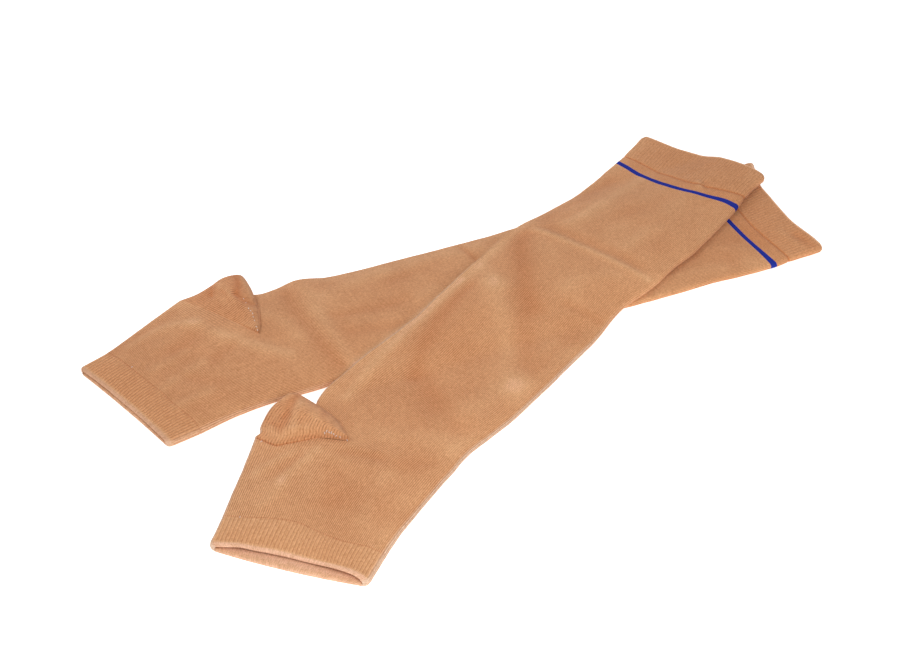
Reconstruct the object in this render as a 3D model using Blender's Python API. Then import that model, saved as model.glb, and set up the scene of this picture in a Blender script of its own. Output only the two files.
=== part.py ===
"""A pair of knitted arm protector sleeves, laid flat with one across the other.

Each sleeve is a flattened tube of knit with a ribbed hem band, a turned heel pocket on its left
side, a size stripe and a ribbed welt. A sleeve is worked out in its own plan: u runs along it from
the middle of the hem to the top, v runs to its left, both in millimetres. The underside rests on
z = 0, and the near sleeve climbs over the far one where they cross.
"""
import math
from collections import namedtuple

import bmesh
import bpy

MM = 0.001

# Cloth, in millimetres
BODY_WALL = 1.4
HEM_WALL = 2.2
WELT_WALL = 1.7
SEAM_GAP = 0.35
LAP_GAP = 0.6

# Ribs of the two bands
HEM_RIBS = 42
HEM_RIB_HEIGHT = 0.5
WELT_RIBS = 44
WELT_RIB_HEIGHT = 0.4
RIB_MARGIN = 0.035

# Places along a sleeve where its knit changes
HEM_BAND = 19.0
STRIPE_WIDTH = 2.8

# The loft: columns are shares of the way across from the left edge to the right one, and a
# millimetre takes up the same share everywhere, so that rows which share a line share its points.
ROW_SPACING = 13.0
SHARE_OF_MM = 1.0 / 98.0
SHARP_ANGLE = 50.0
BODY_UPPER = (0.08, 0.17, 0.26, 0.355, 0.45, 0.54, 0.63, 0.72, 0.81, 0.91)
BODY_LOWER = (0.1, 0.22, 0.335, 0.45, 0.56, 0.67, 0.78, 0.9)
FOLD_ANGLES = (-90.0, -45.0, 0.0, 45.0, 90.0)
GUSSET_COLUMN = 0.45

# The near sleeve over the far one
DRAPE_RUN = 20.0
DRAPE_GAP = 0.75

# The heel pocket
POCKET_RAYS = 9
POCKET_UPPER = (0.045, 0.24, 0.4, 0.56, 0.72, 0.85, 0.94)
POCKET_LOWER = (0.045, 0.36, 0.64, 0.88)
POCKET_LAP_END = 0.86
POCKET_EDGE_SWELL = 0.55

# A section line crosses the sleeve from its left edge to its right edge. Bow is how far its middle
# runs ahead, pull is how far it bends to pass through the gusset point, edge is half the height of
# the folded edge, and rise is what the upper layer gains from the edge to the middle.
Section = namedtuple("Section", "station left_u left_v right_u right_v bow pull edge rise")

# A fold is a soft ridge, or a trough where its height is negative, along a straight line.
Fold = namedtuple("Fold", "start_u start_v end_u end_v height width")

# A lap is how far a pocket's edge lies over the tube: its length, and the share of the way from
# the gusset to the outline where it is longest, with the half-width of that bump.
Lap = namedtuple("Lap", "length middle reach raised")

Sleeve = namedtuple(
    "Sleeve",
    "name hem_x hem_y turn foot leg stripe welt gusset pocket puff front_lap back_lap lip folds",
)

NEAR_FOOT = (
    Section(0.0, -16.5, 41.8, 10.5, -44.5, 0.0, 0.0, 2.6, 4.6),
    Section(19.0, 2.5, 49.5, 30.5, -40.2, 0.0, 0.0, 2.6, 3.9),
    Section(38.0, 21.0, 58.0, 50.5, -37.0, 0.0, 0.0, 2.1, 4.2),
    Section(58.0, 40.5, 66.3, 71.0, -35.2, 0.0, 0.2, 1.8, 4.4),
    Section(78.0, 61.0, 75.0, 93.0, -34.0, 0.0, 1.0, 1.8, 4.4),
)
NEAR_LEG = (
    Section(85.0, 98.0, 61.5, 93.0, -34.0, 0.0, 1.0, 1.8, 4.4),
    Section(101.0, 105.0, 63.0, 102.0, -34.0, 0.0, 0.45, 1.8, 4.4),
    Section(116.0, 116.0, 64.4, 116.0, -33.2, 0.0, 0.1, 1.8, 4.4),
    Section(135.0, 135.0, 62.5, 135.0, -35.5, 0.0, 0.0, 1.8, 4.3),
    Section(160.0, 160.0, 58.6, 160.0, -39.0, 0.0, 0.0, 1.8, 4.3),
    Section(190.0, 190.0, 55.2, 190.0, -40.2, 0.0, 0.0, 1.8, 4.3),
    Section(260.0, 260.0, 54.8, 260.0, -41.2, 0.0, 0.0, 1.8, 4.3),
    Section(305.0, 305.0, 55.2, 305.0, -49.2, 0.0, 0.0, 1.8, 4.3),
    Section(345.0, 345.0, 49.0, 345.0, -54.6, 0.0, 0.0, 1.8, 4.2),
    Section(385.0, 386.5, 43.6, 384.5, -55.8, -3.5, 0.0, 1.8, 4.1),
    Section(405.0, 411.0, 42.6, 403.5, -56.0, -8.0, 0.0, 1.9, 4.3),
    Section(418.0, 420.0, 42.6, 422.0, -55.4, -8.0, 0.0, 2.1, 4.6),
    Section(447.0, 451.5, 43.5, 449.5, -51.6, -4.5, 0.0, 2.1, 5.0),
)
NEAR_POCKET = (
    (61.0, 75.0),
    (69.0, 76.9),
    (78.0, 79.2),
    (87.0, 80.8),
    (94.0, 79.0),
    (97.5, 74.5),
    (98.3, 68.0),
    (98.0, 61.5),
)
NEAR_FOLDS = (
    Fold(112.0, 50.0, 285.0, 46.0, 0.8, 7.0),
    Fold(308.0, 44.0, 302.0, -40.0, 1.1, 7.0),
    Fold(240.0, 36.0, 148.0, -34.0, 0.8, 12.0),
    Fold(286.0, 36.0, 208.0, -18.0, -0.8, 13.0),
    Fold(180.0, 40.0, 132.0, -18.0, -0.7, 12.0),
    Fold(76.0, 30.0, 94.0, -18.0, -0.6, 7.0),
    Fold(374.0, 24.0, 336.0, -22.0, 0.6, 13.0),
)

FAR_FOOT = (
    Section(0.0, -15.0, 39.6, 13.6, -45.4, 0.0, 0.0, 2.5, 4.0),
    Section(19.0, 3.5, 47.6, 32.5, -42.3, 0.0, 0.0, 2.5, 3.9),
    Section(38.0, 21.0, 56.5, 52.0, -38.3, 0.0, 0.0, 2.1, 4.2),
    Section(58.0, 39.5, 66.5, 73.5, -35.8, 0.0, 0.2, 1.8, 4.4),
    Section(80.0, 58.0, 76.5, 97.0, -36.0, 0.0, 1.0, 1.8, 4.4),
)
FAR_LEG = (
    Section(88.0, 101.0, 62.0, 97.0, -36.0, 0.0, 1.0, 1.8, 4.4),
    Section(104.0, 108.0, 61.6, 104.0, -36.2, 0.0, 0.45, 1.8, 4.4),
    Section(118.0, 118.0, 63.0, 118.0, -36.8, 0.0, 0.1, 1.8, 4.4),
    Section(133.0, 133.0, 63.6, 133.0, -37.6, 0.0, 0.0, 1.8, 4.3),
    Section(150.0, 150.0, 58.8, 150.0, -38.5, 0.0, 0.0, 1.8, 4.3),
    Section(190.0, 190.0, 55.6, 190.0, -40.2, 0.0, 0.0, 1.8, 4.3),
    Section(270.0, 270.0, 53.6, 270.0, -43.4, 0.0, 0.0, 1.8, 4.3),
    Section(310.0, 310.0, 54.0, 310.0, -48.6, 0.0, 0.0, 1.8, 4.3),
    Section(350.0, 350.0, 49.0, 350.0, -50.7, 0.0, 0.0, 1.8, 4.2),
    Section(390.0, 390.0, 45.6, 390.0, -53.0, 0.0, 0.0, 1.8, 4.1),
    Section(414.0, 411.0, 45.0, 416.5, -54.5, -1.0, 0.0, 1.9, 4.1),
    Section(427.0, 425.5, 45.0, 429.0, -55.0, -2.0, 0.0, 2.1, 4.3),
    Section(456.0, 461.0, 44.5, 452.0, -54.0, -6.0, 0.0, 2.1, 4.5),
)
FAR_POCKET = (
    (58.0, 76.5),
    (69.0, 77.2),
    (80.0, 81.0),
    (88.0, 86.0),
    (95.0, 87.0),
    (100.5, 85.0),
    (102.3, 78.0),
    (102.2, 70.0),
    (101.0, 62.0),
)
FAR_FOLDS = (
    Fold(36.0, 48.0, 100.0, -2.0, 0.9, 8.0),
    Fold(54.0, 24.0, 76.0, 4.0, -0.6, 9.0),
    Fold(133.0, 42.0, 132.0, -24.0, 0.8, 7.0),
    Fold(140.0, 14.0, 196.0, 8.0, -0.7, 11.0),
    Fold(178.0, 28.0, 262.0, 42.0, 0.7, 9.0),
)

NEAR = Sleeve(
    name="near",
    hem_x=-213.18,
    hem_y=-90.22,
    turn=15.05,
    foot=NEAR_FOOT,
    leg=NEAR_LEG,
    stripe=405.0,
    welt=418.0,
    gusset=(84.0, 25.0),
    pocket=NEAR_POCKET,
    puff=2.4,
    front_lap=Lap(10.0, 0.6, 0.25, True),
    back_lap=Lap(3.5, 0.45, 0.4, True),
    lip=1.0,
    folds=NEAR_FOLDS,
)
FAR = Sleeve(
    name="far",
    hem_x=-216.78,
    hem_y=70.38,
    turn=-15.05,
    foot=FAR_FOOT,
    leg=FAR_LEG,
    stripe=414.0,
    welt=427.0,
    gusset=(91.0, 19.0),
    pocket=FAR_POCKET,
    puff=1.2,
    front_lap=Lap(0.0, 0.5, 0.4, False),
    back_lap=Lap(2.0, 0.5, 0.42, True),
    lip=-0.5,
    folds=FAR_FOLDS,
)


def smooth_step(value):
    """Go from 0 to 1 with no kink at either end."""
    value = min(1.0, max(0.0, value))
    return value * value * (3.0 - 2.0 * value)


def mix(first, second, share):
    """Point or row that lies the given share of the way from the first to the second."""
    return tuple(a + (b - a) * share for a, b in zip(first, second))


def curve_through(rows, place):
    """Read a smooth curve through rows, each of which starts with its place on the curve."""
    last = len(rows) - 2
    index = max(i for i in range(last + 1) if i == 0 or rows[i][0] <= place)
    low, high = rows[index], rows[index + 1]
    span = high[0] - low[0]
    share = (place - low[0]) / span

    def slope(at):
        before, after = rows[max(at - 1, 0)], rows[min(at + 1, last + 1)]
        return [(b - a) / (after[0] - before[0]) * span for a, b in zip(before, after)]

    square, cube = share**2, share**3
    weights = (
        2 * cube - 3 * square + 1,
        3 * square - 2 * cube,
        cube - 2 * square + share,
        cube - square,
    )
    return [
        sum(weight * part for weight, part in zip(weights, parts))
        for parts in zip(low, high, slope(index), slope(index + 1))
    ]


def section_at(sections, station):
    """Section line of the sleeve at any station between two rows of its table."""
    return Section(*curve_through(sections, station))


def line_point(sleeve, section, across):
    """Plan point on a section line, from 0 at the left edge to 1 at the right edge."""
    left = (section.left_u, section.left_v)
    right = (section.right_u, section.right_v)
    plain = mix(left, right, across)
    plain = (plain[0] + section.bow * 4.0 * across * (1.0 - across), plain[1])
    if across < GUSSET_COLUMN:
        bent = mix(left, sleeve.gusset, across / GUSSET_COLUMN)
    else:
        bent = mix(sleeve.gusset, right, (across - GUSSET_COLUMN) / (1.0 - GUSSET_COLUMN))
    return mix(plain, bent, min(1.0, max(0.0, section.pull)))


def crown(across):
    """Share of the rise that the upper layer has, 0 at both edges and nearly 1 between them."""
    return 1.0 - abs(2.0 * across - 1.0) ** 3


def fold_height(sleeve, u, v, across):
    """What the sleeve's folds add to its upper layer at a plan point."""
    total = 0.0
    for fold in sleeve.folds:
        run_u = fold.end_u - fold.start_u
        run_v = fold.end_v - fold.start_v
        length = math.hypot(run_u, run_v)
        along = ((u - fold.start_u) * run_u + (v - fold.start_v) * run_v) / length
        aside = ((u - fold.start_u) * run_v - (v - fold.start_v) * run_u) / length
        beyond = max(0.0, -along, along - length)
        total += fold.height * math.exp(-(aside**2 + beyond**2) / fold.width**2)
    return total * smooth_step(8.0 * across * (1.0 - across))


def to_world(sleeve, u, v):
    """Place on the floor of a point of a sleeve's plan."""
    turn = math.radians(sleeve.turn)
    x = sleeve.hem_x + u * math.cos(turn) - v * math.sin(turn)
    y = sleeve.hem_y + u * math.sin(turn) + v * math.cos(turn)
    return x, y


def to_plan(sleeve, x, y):
    """Point of a sleeve's plan that lies at a place on the floor."""
    turn = math.radians(sleeve.turn)
    x -= sleeve.hem_x
    y -= sleeve.hem_y
    return x * math.cos(turn) + y * math.sin(turn), y * math.cos(turn) - x * math.sin(turn)


def top_of_far(u, v):
    """Height over the floor that cloth laid on the far sleeve keeps, beside it as well as on it."""
    legs = FAR.leg
    station = min(legs[-1].station, max(legs[0].station, u))
    section = section_at(legs, station)
    across = (section.left_v - v) / (section.left_v - section.right_v)
    across = min(1.0, max(0.0, across))
    height = 2.0 * section.edge + section.rise * crown(across) + DRAPE_GAP
    height += fold_height(FAR, u, v, across)
    height += WELT_RIB_HEIGHT * smooth_step((u - FAR.welt + DRAPE_RUN) / DRAPE_RUN)
    end_u = line_point(FAR, legs[-1], across)[0]
    beside = min(section.left_v - v, v - section.right_v)
    beside_share = smooth_step((beside + DRAPE_RUN) / (DRAPE_RUN + section.edge))
    beyond_share = smooth_step((end_u - u + DRAPE_RUN) / DRAPE_RUN)
    return height * beside_share * beyond_share


def lift(sleeve, x, y):
    """Height of a sleeve's underside over the floor."""
    if sleeve is FAR:
        return 0.0
    return top_of_far(*to_plan(FAR, x, y))


def placed(sleeve, u, v, z):
    """Finished point in metres, with the drape over the other sleeve."""
    x, y = to_world(sleeve, u, v)
    return x * MM, y * MM, (z + lift(sleeve, x, y)) * MM


def round_columns(upper, lower):
    """Columns once round a tube: up its left fold, over the top, down its right fold and back."""
    columns = [("left", angle) for angle in FOLD_ANGLES]
    columns += [("upper", across) for across in upper]
    columns += [("right", angle) for angle in reversed(FOLD_ANGLES)]
    columns += [("lower", across) for across in reversed(lower)]
    return columns


def tube_point(sleeve, section, column, inset, rib=0.0, lip=0.0):
    """Point of a tube's outer side, or of its inner side where inset is the wall."""
    layer, value = column
    if layer in ("left", "right"):
        angle = math.radians(value)
        radius = section.edge - inset
        from_edge = (section.edge - radius * math.cos(angle)) * SHARE_OF_MM
        across = from_edge if layer == "left" else 1.0 - from_edge
        z = section.edge + radius * math.sin(angle)
        z += section.rise * crown(across) * max(0.0, math.sin(angle))
        u, v = line_point(sleeve, section, across)
        return placed(sleeve, u, v, z)
    u, v = line_point(sleeve, section, value)
    if layer == "lower":
        ahead = lip * 4.0 * value * (1.0 - value) * SHARE_OF_MM
        u -= ahead * (section.left_v - section.right_v)
        v -= ahead * (section.right_u - section.left_u)
        return placed(sleeve, u, v, inset)
    z = 2.0 * section.edge + section.rise * crown(value) + fold_height(sleeve, u, v, value)
    return placed(sleeve, u, v, z + rib - inset)


def tube_row(sleeve, section, columns, wall):
    """Pairs of an outer and an inner point, once round the tube."""
    return [
        (
            tube_point(sleeve, section, column, 0.0),
            tube_point(sleeve, section, column, wall),
        )
        for column in columns
    ]


def stations_between(start, end):
    """Evenly spaced stations, no further apart than the row spacing."""
    steps = max(1, math.ceil((end - start) / ROW_SPACING))
    return [start + (end - start) * step / steps for step in range(steps + 1)]


def tube_rows(sleeve, sections, start, end, columns, wall):
    """Rows of a plain tube between two stations."""
    return [
        tube_row(sleeve, section_at(sections, station), columns, wall)
        for station in stations_between(start, end)
    ]


def cloth_object(name, sheets, closed, collection, material):
    """Build one closed solid from sheets of outer and inner points, with rims at open edges.

    Points that two sheets share are joined, which makes the tube whole beside its heel wedge.
    """
    bm = bmesh.new()
    made = {}
    inner_of = {}

    def vertex(point):
        key = tuple(round(value, 7) for value in point)
        if key not in made:
            made[key] = bm.verts.new(point)
        return made[key]

    for rows in sheets:
        for row, next_row in zip(rows, rows[1:]):
            count = len(row)
            for column in range(count if closed else count - 1):
                beside = (column + 1) % count
                corners = (row[column], row[beside], next_row[beside], next_row[column])
                outer = [vertex(pair[0]) for pair in corners]
                inner = [vertex(pair[1]) for pair in corners]
                bm.faces.new(outer)
                bm.faces.new(reversed(inner))
                inner_of.update(zip(outer, inner))
    for edge in [edge for edge in bm.edges if edge.is_boundary]:
        first, second = edge.verts
        if first in inner_of and second in inner_of:
            bm.faces.new((first, second, inner_of[second], inner_of[first]))
    bmesh.ops.recalc_face_normals(bm, faces=bm.faces)
    mesh = bpy.data.meshes.new(name)
    bm.to_mesh(mesh)
    bm.free()
    mesh.shade_smooth()
    mesh.set_sharp_from_angle(angle=math.radians(SHARP_ANGLE))
    mesh.materials.append(material)
    cloth = bpy.data.objects.new(name, mesh)
    collection.objects.link(cloth)
    return cloth


def ribbed_rows(sleeve, sections, stations, wall, ribs, rib_height, lip):
    """Rows of a double band, with ribs raised on its upper layer over a plain inside."""
    steps = 2 * ribs
    span = 1.0 - 2.0 * RIB_MARGIN
    upper = [RIB_MARGIN + span * step / steps for step in range(steps + 1)]
    columns = round_columns(upper, BODY_LOWER)
    ridges = [rib_height if upper_step % 2 else 0.0 for upper_step in range(steps + 1)]
    rib_of = dict(zip(upper, ridges))
    start, end = stations[0], stations[-1]
    rows = []
    for station in stations:
        section = section_at(sections, station)
        reach = lip * (end - station) / (end - start)
        row = []
        for column in columns:
            rib = rib_of[column[1]] if column[0] == "upper" else 0.0
            outer = tube_point(sleeve, section, column, 0.0, rib, reach)
            inner = tube_point(sleeve, section, column, wall, 0.0, reach)
            row.append((outer, inner))
        rows.append(row)
    return rows


def add_hem_band(sleeve, collection, material):
    """Ribbed band of double cloth, whose under layer reaches out past the upper one."""
    stations = (0.0, HEM_BAND / 2.0, HEM_BAND)
    rows = ribbed_rows(
        sleeve, sleeve.foot, stations, HEM_WALL, HEM_RIBS, HEM_RIB_HEIGHT, sleeve.lip
    )
    cloth_object(sleeve.name + "_hem_band", [rows], True, collection, material)


def add_body_tube(sleeve, collection, material):
    """Plain tube in one piece, open in a wedge at the heel with its tip at the gusset."""
    columns = round_columns(BODY_UPPER, BODY_LOWER)
    foot_end = sleeve.foot[-1].station
    leg_start = sleeve.leg[0].station
    leg_end = sleeve.stripe - STRIPE_WIDTH / 2.0 - SEAM_GAP
    foot = tube_rows(sleeve, sleeve.foot, HEM_BAND + SEAM_GAP, foot_end, columns, BODY_WALL)
    leg = tube_rows(sleeve, sleeve.leg, leg_start, leg_end, columns, BODY_WALL)
    cloth_object(sleeve.name + "_body_tube", [foot, leg], True, collection, material)


def add_plain_ring(sleeve, part, start, end, collection, material):
    """Short ring of plain knit between two stations."""
    columns = round_columns(BODY_UPPER, BODY_LOWER)
    rows = tube_rows(sleeve, sleeve.leg, start, end, columns, BODY_WALL)
    cloth_object(sleeve.name + part, [rows], True, collection, material)


def add_top_welt(sleeve, collection, material):
    """Finely ribbed welt of double cloth at the wide end."""
    end = sleeve.leg[-1].station
    start = sleeve.welt + SEAM_GAP
    rows = ribbed_rows(
        sleeve, sleeve.leg, (start, (start + end) / 2.0, end), WELT_WALL, WELT_RIBS,
        WELT_RIB_HEIGHT, 0.0,
    )
    cloth_object(sleeve.name + "_top_welt", [rows], True, collection, material)


def pocket_rim(sleeve, ray):
    """Point on the pocket's outline, from its front at ray 0 to its back at ray 1."""
    outline = sleeve.pocket
    rows = [(index / (len(outline) - 1.0), u, v) for index, (u, v) in enumerate(outline)]
    return curve_through(rows, ray)[1:]


def lap_shift(lap, share):
    """How far a pocket's edge lies over the tube at a share of the way to the outline."""
    if abs(share - lap.middle) >= lap.reach:
        return 0.0
    return lap.length * math.cos(0.5 * math.pi * (share - lap.middle) / lap.reach) ** 2


def pocket_plan(sleeve, ray, share, lapped):
    """Plan point of the pocket, on the line from the gusset to its outline."""
    tip_u, tip_v = sleeve.gusset
    rim_u, rim_v = pocket_rim(sleeve, ray)
    length = math.hypot(rim_u - tip_u, rim_v - tip_v)
    side_u, side_v = (rim_v - tip_v) / length, (tip_u - rim_u) / length
    u, v = mix((tip_u, tip_v), (rim_u, rim_v), share)
    shift = 0.0
    if ray == 0.0:
        shift = SEAM_GAP - (lap_shift(sleeve.front_lap, share) if lapped else 0.0)
    elif ray == 1.0:
        shift = (lap_shift(sleeve.back_lap, share) if lapped else 0.0) - SEAM_GAP
    return u + shift * side_u, v + shift * side_v, length


def pocket_point(sleeve, ray, column, inset):
    """Point of the pocket's outer side, or of its inner side where inset is the wall."""
    layer, value = column
    swell = math.sin(math.pi * ray)
    edge = sleeve.leg[0].edge + POCKET_EDGE_SWELL * sleeve.puff * swell
    if layer == "fold":
        angle = math.radians(value)
        radius = edge - inset
        length = pocket_plan(sleeve, ray, 1.0, False)[2]
        share = 1.0 - (edge - radius * math.cos(angle)) / length
        u, v = pocket_plan(sleeve, ray, share, False)[:2]
        return placed(sleeve, u, v, edge + radius * math.sin(angle))
    if layer == "lower":
        u, v = pocket_plan(sleeve, ray, value, False)[:2]
        return placed(sleeve, u, v, inset)
    u, v = pocket_plan(sleeve, ray, value, True)[:2]
    raised = mix((sleeve.front_lap.raised,), (sleeve.back_lap.raised,), ray)[0]
    fade = smooth_step((1.0 - value) / (1.0 - POCKET_LAP_END))
    across = GUSSET_COLUMN * (1.0 - value)
    z = 2.0 * edge + sleeve.leg[0].rise * crown(across)
    z += fold_height(sleeve, u, v, across)
    z += (BODY_WALL + LAP_GAP) * raised * fade
    z += sleeve.puff * swell * math.sin(math.pi * value)
    return placed(sleeve, u, v, z - inset)


def add_heel_pocket(sleeve, collection, material):
    """Turned pocket that fills the wedge, with its raised edges lapped over the tube."""
    columns = [("upper", share) for share in POCKET_UPPER]
    columns += [("fold", angle) for angle in reversed(FOLD_ANGLES)]
    columns += [("lower", share) for share in reversed(POCKET_LOWER)]
    rows = []
    for index in range(POCKET_RAYS + 1):
        ray = index / POCKET_RAYS
        rows.append(
            [
                (
                    pocket_point(sleeve, ray, column, 0.0),
                    pocket_point(sleeve, ray, column, BODY_WALL),
                )
                for column in columns
            ]
        )
    cloth_object(sleeve.name + "_heel_pocket", [rows], False, collection, material)


def plain_material(name, color, roughness):
    """Principled material of one colour."""
    material = bpy.data.materials.new(name)
    material.use_nodes = True
    shader = material.node_tree.nodes["Principled BSDF"]
    shader.inputs["Base Color"].default_value = (*color, 1.0)
    shader.inputs["Roughness"].default_value = roughness
    shader.inputs["Metallic"].default_value = 0.0
    return material


def add_sleeve(sleeve, collection):
    """Build the six parts of one sleeve."""
    name = sleeve.name
    tan_knit = plain_material(name + "_tan_knit", (0.60, 0.29, 0.14), 0.9)
    tan_band = plain_material(name + "_tan_band", (0.64, 0.33, 0.18), 0.9)
    tan_pocket = plain_material(name + "_tan_pocket", (0.56, 0.27, 0.13), 0.9)
    tan_strip = plain_material(name + "_tan_strip", (0.60, 0.30, 0.15), 0.9)
    tan_welt = plain_material(name + "_tan_welt", (0.62, 0.32, 0.17), 0.9)
    blue_yarn = plain_material(name + "_blue_yarn", (0.012, 0.025, 0.26), 0.85)
    half_stripe = STRIPE_WIDTH / 2.0
    add_hem_band(sleeve, collection, tan_band)
    add_body_tube(sleeve, collection, tan_knit)
    add_heel_pocket(sleeve, collection, tan_pocket)
    add_plain_ring(
        sleeve, "_size_stripe", sleeve.stripe - half_stripe, sleeve.stripe + half_stripe,
        collection, blue_yarn,
    )
    add_plain_ring(
        sleeve, "_top_strip", sleeve.stripe + half_stripe + SEAM_GAP, sleeve.welt,
        collection, tan_strip,
    )
    add_top_welt(sleeve, collection, tan_welt)


def main():
    """Clear the scene and build both sleeves."""
    for old in list(bpy.data.objects):
        bpy.data.objects.remove(old, do_unlink=True)
    collection = bpy.data.collections.new("arm_protector_sleeves")
    bpy.context.scene.collection.children.link(collection)
    for sleeve in (FAR, NEAR):
        add_sleeve(sleeve, collection)


main()
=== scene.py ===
"""Finish of a pair of knitted arm protector sleeves, laid flat with one across the other.

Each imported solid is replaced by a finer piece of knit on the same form, with its creases, ribs and
lapped edges. A sleeve is worked out in its own plan, in millimetres: u runs along it from the
middle of the hem to the top, and v runs to its left. A station is a distance along its middle.
The near sleeve lies over the far one.
"""
import math
from collections import namedtuple
from functools import lru_cache

import bmesh
import bpy
from mathutils import Matrix, Vector, noise


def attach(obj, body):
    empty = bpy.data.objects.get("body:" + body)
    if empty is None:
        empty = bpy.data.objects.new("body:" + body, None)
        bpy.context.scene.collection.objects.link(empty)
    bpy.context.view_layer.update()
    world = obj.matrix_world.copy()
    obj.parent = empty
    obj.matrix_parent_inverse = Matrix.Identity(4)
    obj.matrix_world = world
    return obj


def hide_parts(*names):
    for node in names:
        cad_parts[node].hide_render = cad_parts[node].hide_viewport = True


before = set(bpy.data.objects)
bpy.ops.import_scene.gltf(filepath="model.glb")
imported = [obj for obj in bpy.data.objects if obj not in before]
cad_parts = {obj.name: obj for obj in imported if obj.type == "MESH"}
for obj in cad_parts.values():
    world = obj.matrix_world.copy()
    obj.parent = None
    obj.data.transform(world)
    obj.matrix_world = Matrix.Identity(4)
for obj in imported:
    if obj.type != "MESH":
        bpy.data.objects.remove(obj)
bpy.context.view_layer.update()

MM = 0.001

# Camera, from the photograph: what it looks at and where it stands, in millimetres
LOOK_AT = (-22.05, -5.17, 0.0)
STAND_AT = (-493.82, -558.52, 625.46)
FOCAL_PIXELS = 1552.0
IMAGE_WIDTH = 923.0
SENSOR = 36.0

# Studio: name, place and width in metres, and power in watts of each lamp, then the floor
LAMPS = (
    ("window_light", (-0.9, 0.5, 1.1), 0.8, 4.8),
    ("front_light", (-0.2, -0.6, 0.5), 0.5, 3.45),
    ("back_light", (0.0, 0.78, 0.45), 0.5, 2.0),
)
FLOOR_REACH = 4.0
FLOOR_DROP = 0.05
PAPER_TONE = 0.97
PAPER_GLOW = 0.66
SURROUND_GLOW = 0.39

# Cloth, in millimetres
BODY_WALL = 1.3
LAP_WALL = 1.0
HEM_BAND = 19.0
STRIPE_WIDTH = 3.2
MERGE_DISTANCE = 0.004
SHARE_OF_MM = 1.0 / 98.0  # one millimetre as a share of a sleeve's width
GUSSET_ACROSS = 0.45  # how far across from the left the wedge of the heel ends
SHARP_ANGLE = 55.0

# Knit: stitches once round, how far a row of them reaches, and how they share out round a tube
WALES = 168
FOLD_WALES = 6
UPPER_WALES = 84
EVENNESS = 0.88
COURSE = 0.95
WALES_A_RIB = 2

# Fineness of the meshes
ROW_STEP = 1.9
STRIPE_STEP = 1.0
STRIP_STEP = 0.9
LEFT_STEPS = 21
RIGHT_STEPS = 25
FOLD_STEPS = 8
UNDER_LEFT_STEPS = 14
UNDER_RIGHT_STEPS = 17
RIB_STEPS = 8
LIP_STEPS = 9

# Colours of the knit: deep and light tans, between which its tone goes with the dye and with painted
# shade in hollows and painted highlight on ridges; painted highlight on the lips of the bands,
# lighter on the near hem than on the far one, and on the rims of folds; the gaps between stitches;
# then the stripe and the loose loops
DEEP_TAN = (0.607, 0.224, 0.081)
LIGHT_TAN = (0.755, 0.405, 0.197)
WELT_LIP_HIGHLIGHT_TAN = (0.90, 0.50, 0.30)
NEAR_HEM_LIP_HIGHLIGHT_TAN = (0.82, 0.47, 0.295)
FAR_HEM_LIP_HIGHLIGHT_TAN = (0.66, 0.36, 0.21)
RIM_HIGHLIGHT_TAN = (0.69, 0.48, 0.335)
GAP_BROWN = (0.30, 0.088, 0.024)
STRIPE_BLUE = (0.014, 0.032, 0.33)
STRIPE_DARK_BLUE = (0.008, 0.018, 0.19)
THREAD_WHITE = (0.78, 0.66, 0.58)

# Speckles in the yarn, in waves a metre, from the broadest to the finest
CLOUD_WAVES = 30.0
STRETCH_WAVES = 45.0
WANDER_WAVES = 240.0
BLOTCH_WAVES = 420.0
DYE_WAVES = 700.0
GRAIN_WAVES = 1100.0
FUZZ_WAVES = 2600.0

# Tone of the knit, from deep at 0 to light at 1, with painted highlight where it stands proud,
# painted shade where it lies sunk, and the dye's clouds
LEVEL_TONE = 0.6
RELIEF_SHADING_TONE = 0.34  # more, for each millimetre that it stands proud
CLOUD_TONE = 0.25  # either way, where the dye took unevenly
DARK_STITCH = (0.76, 0.69, 0.60)
LIGHT_STITCH = (1.24, 1.33, 1.45)
RIM_HIGHLIGHT_STRENGTH = 0.8

# A stitch: its legs of yarn and the gap beside them
LEG_CREST = 0.52  # where a leg is highest, from the middle of its wale to the side
LEG_SLANT = 0.62  # rows that a leg slants over
STRAND_ROUND = 0.6
GAP_NARROW = 2.6
GAP_BROKEN = 0.4
GAP_FADE = 0.0008  # how much weaker the gaps get with each row toward the top

# Painted light and shade that folds, seams and lips add to the relief: highlight on the folds, more
# on the left one, which faces the light, shade in sunken seams, and highlight on the lips of the
# bands
LEFT_FOLD_HIGHLIGHT = 0.6
RIGHT_FOLD_HIGHLIGHT = 0.2
SEAM_SHADE = 3.6  # sunken, for each millimetre of depth
LIP_HIGHLIGHT = 2.0

# Pale painted highlight on the rims of folds, where light bounced from the floor pales them
RIM_HIGHLIGHT_BREADTH = 1.3
RIM_HIGHLIGHT_END = 290.0  # station where it has faded out
RIM_HIGHLIGHT_FADE = 80.0  # length over which it fades

# The near sleeve over the far one
DRAPE_RUN = 20.0
DRAPE_GAP = 0.6
WELT_RIB_HEIGHT = 0.4

# Unevenness of the cloth and of its folded edges
WAVER_HEIGHT = 0.18
EDGE_WAVES = ((21.0, 0.5, 0.45), (6.5, 4.5, 0.16))  # length, seed and height of each
CREASE_REACH = 3.0  # in widths of the crease

# Pinch along the seam under the welt
SEAM_DEPTH = 0.6
SEAM_REACH = 1.4

# Rows of a double band
SEAM_EDGE = 0.5  # from the seam to the row beside it
SHOULDER = 1.2  # from the seam to the first full row
SHOULDER_FADE = 1.5
SHOULDER_SHARE = 0.25  # of the seam's depth
BAND_STEP = 1.5
RIB_START = 2.5  # from the seam to where the ribs are full
INNER_RIB = 0.3  # share of the ribs' depth that shows inside
LIP_PROUD = 0.12
LIP_SMOOTH_TO = 2.2  # angle round the lip, in radians
INNER_STEP = 2.4
INNER_FADE = 8.0

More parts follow.
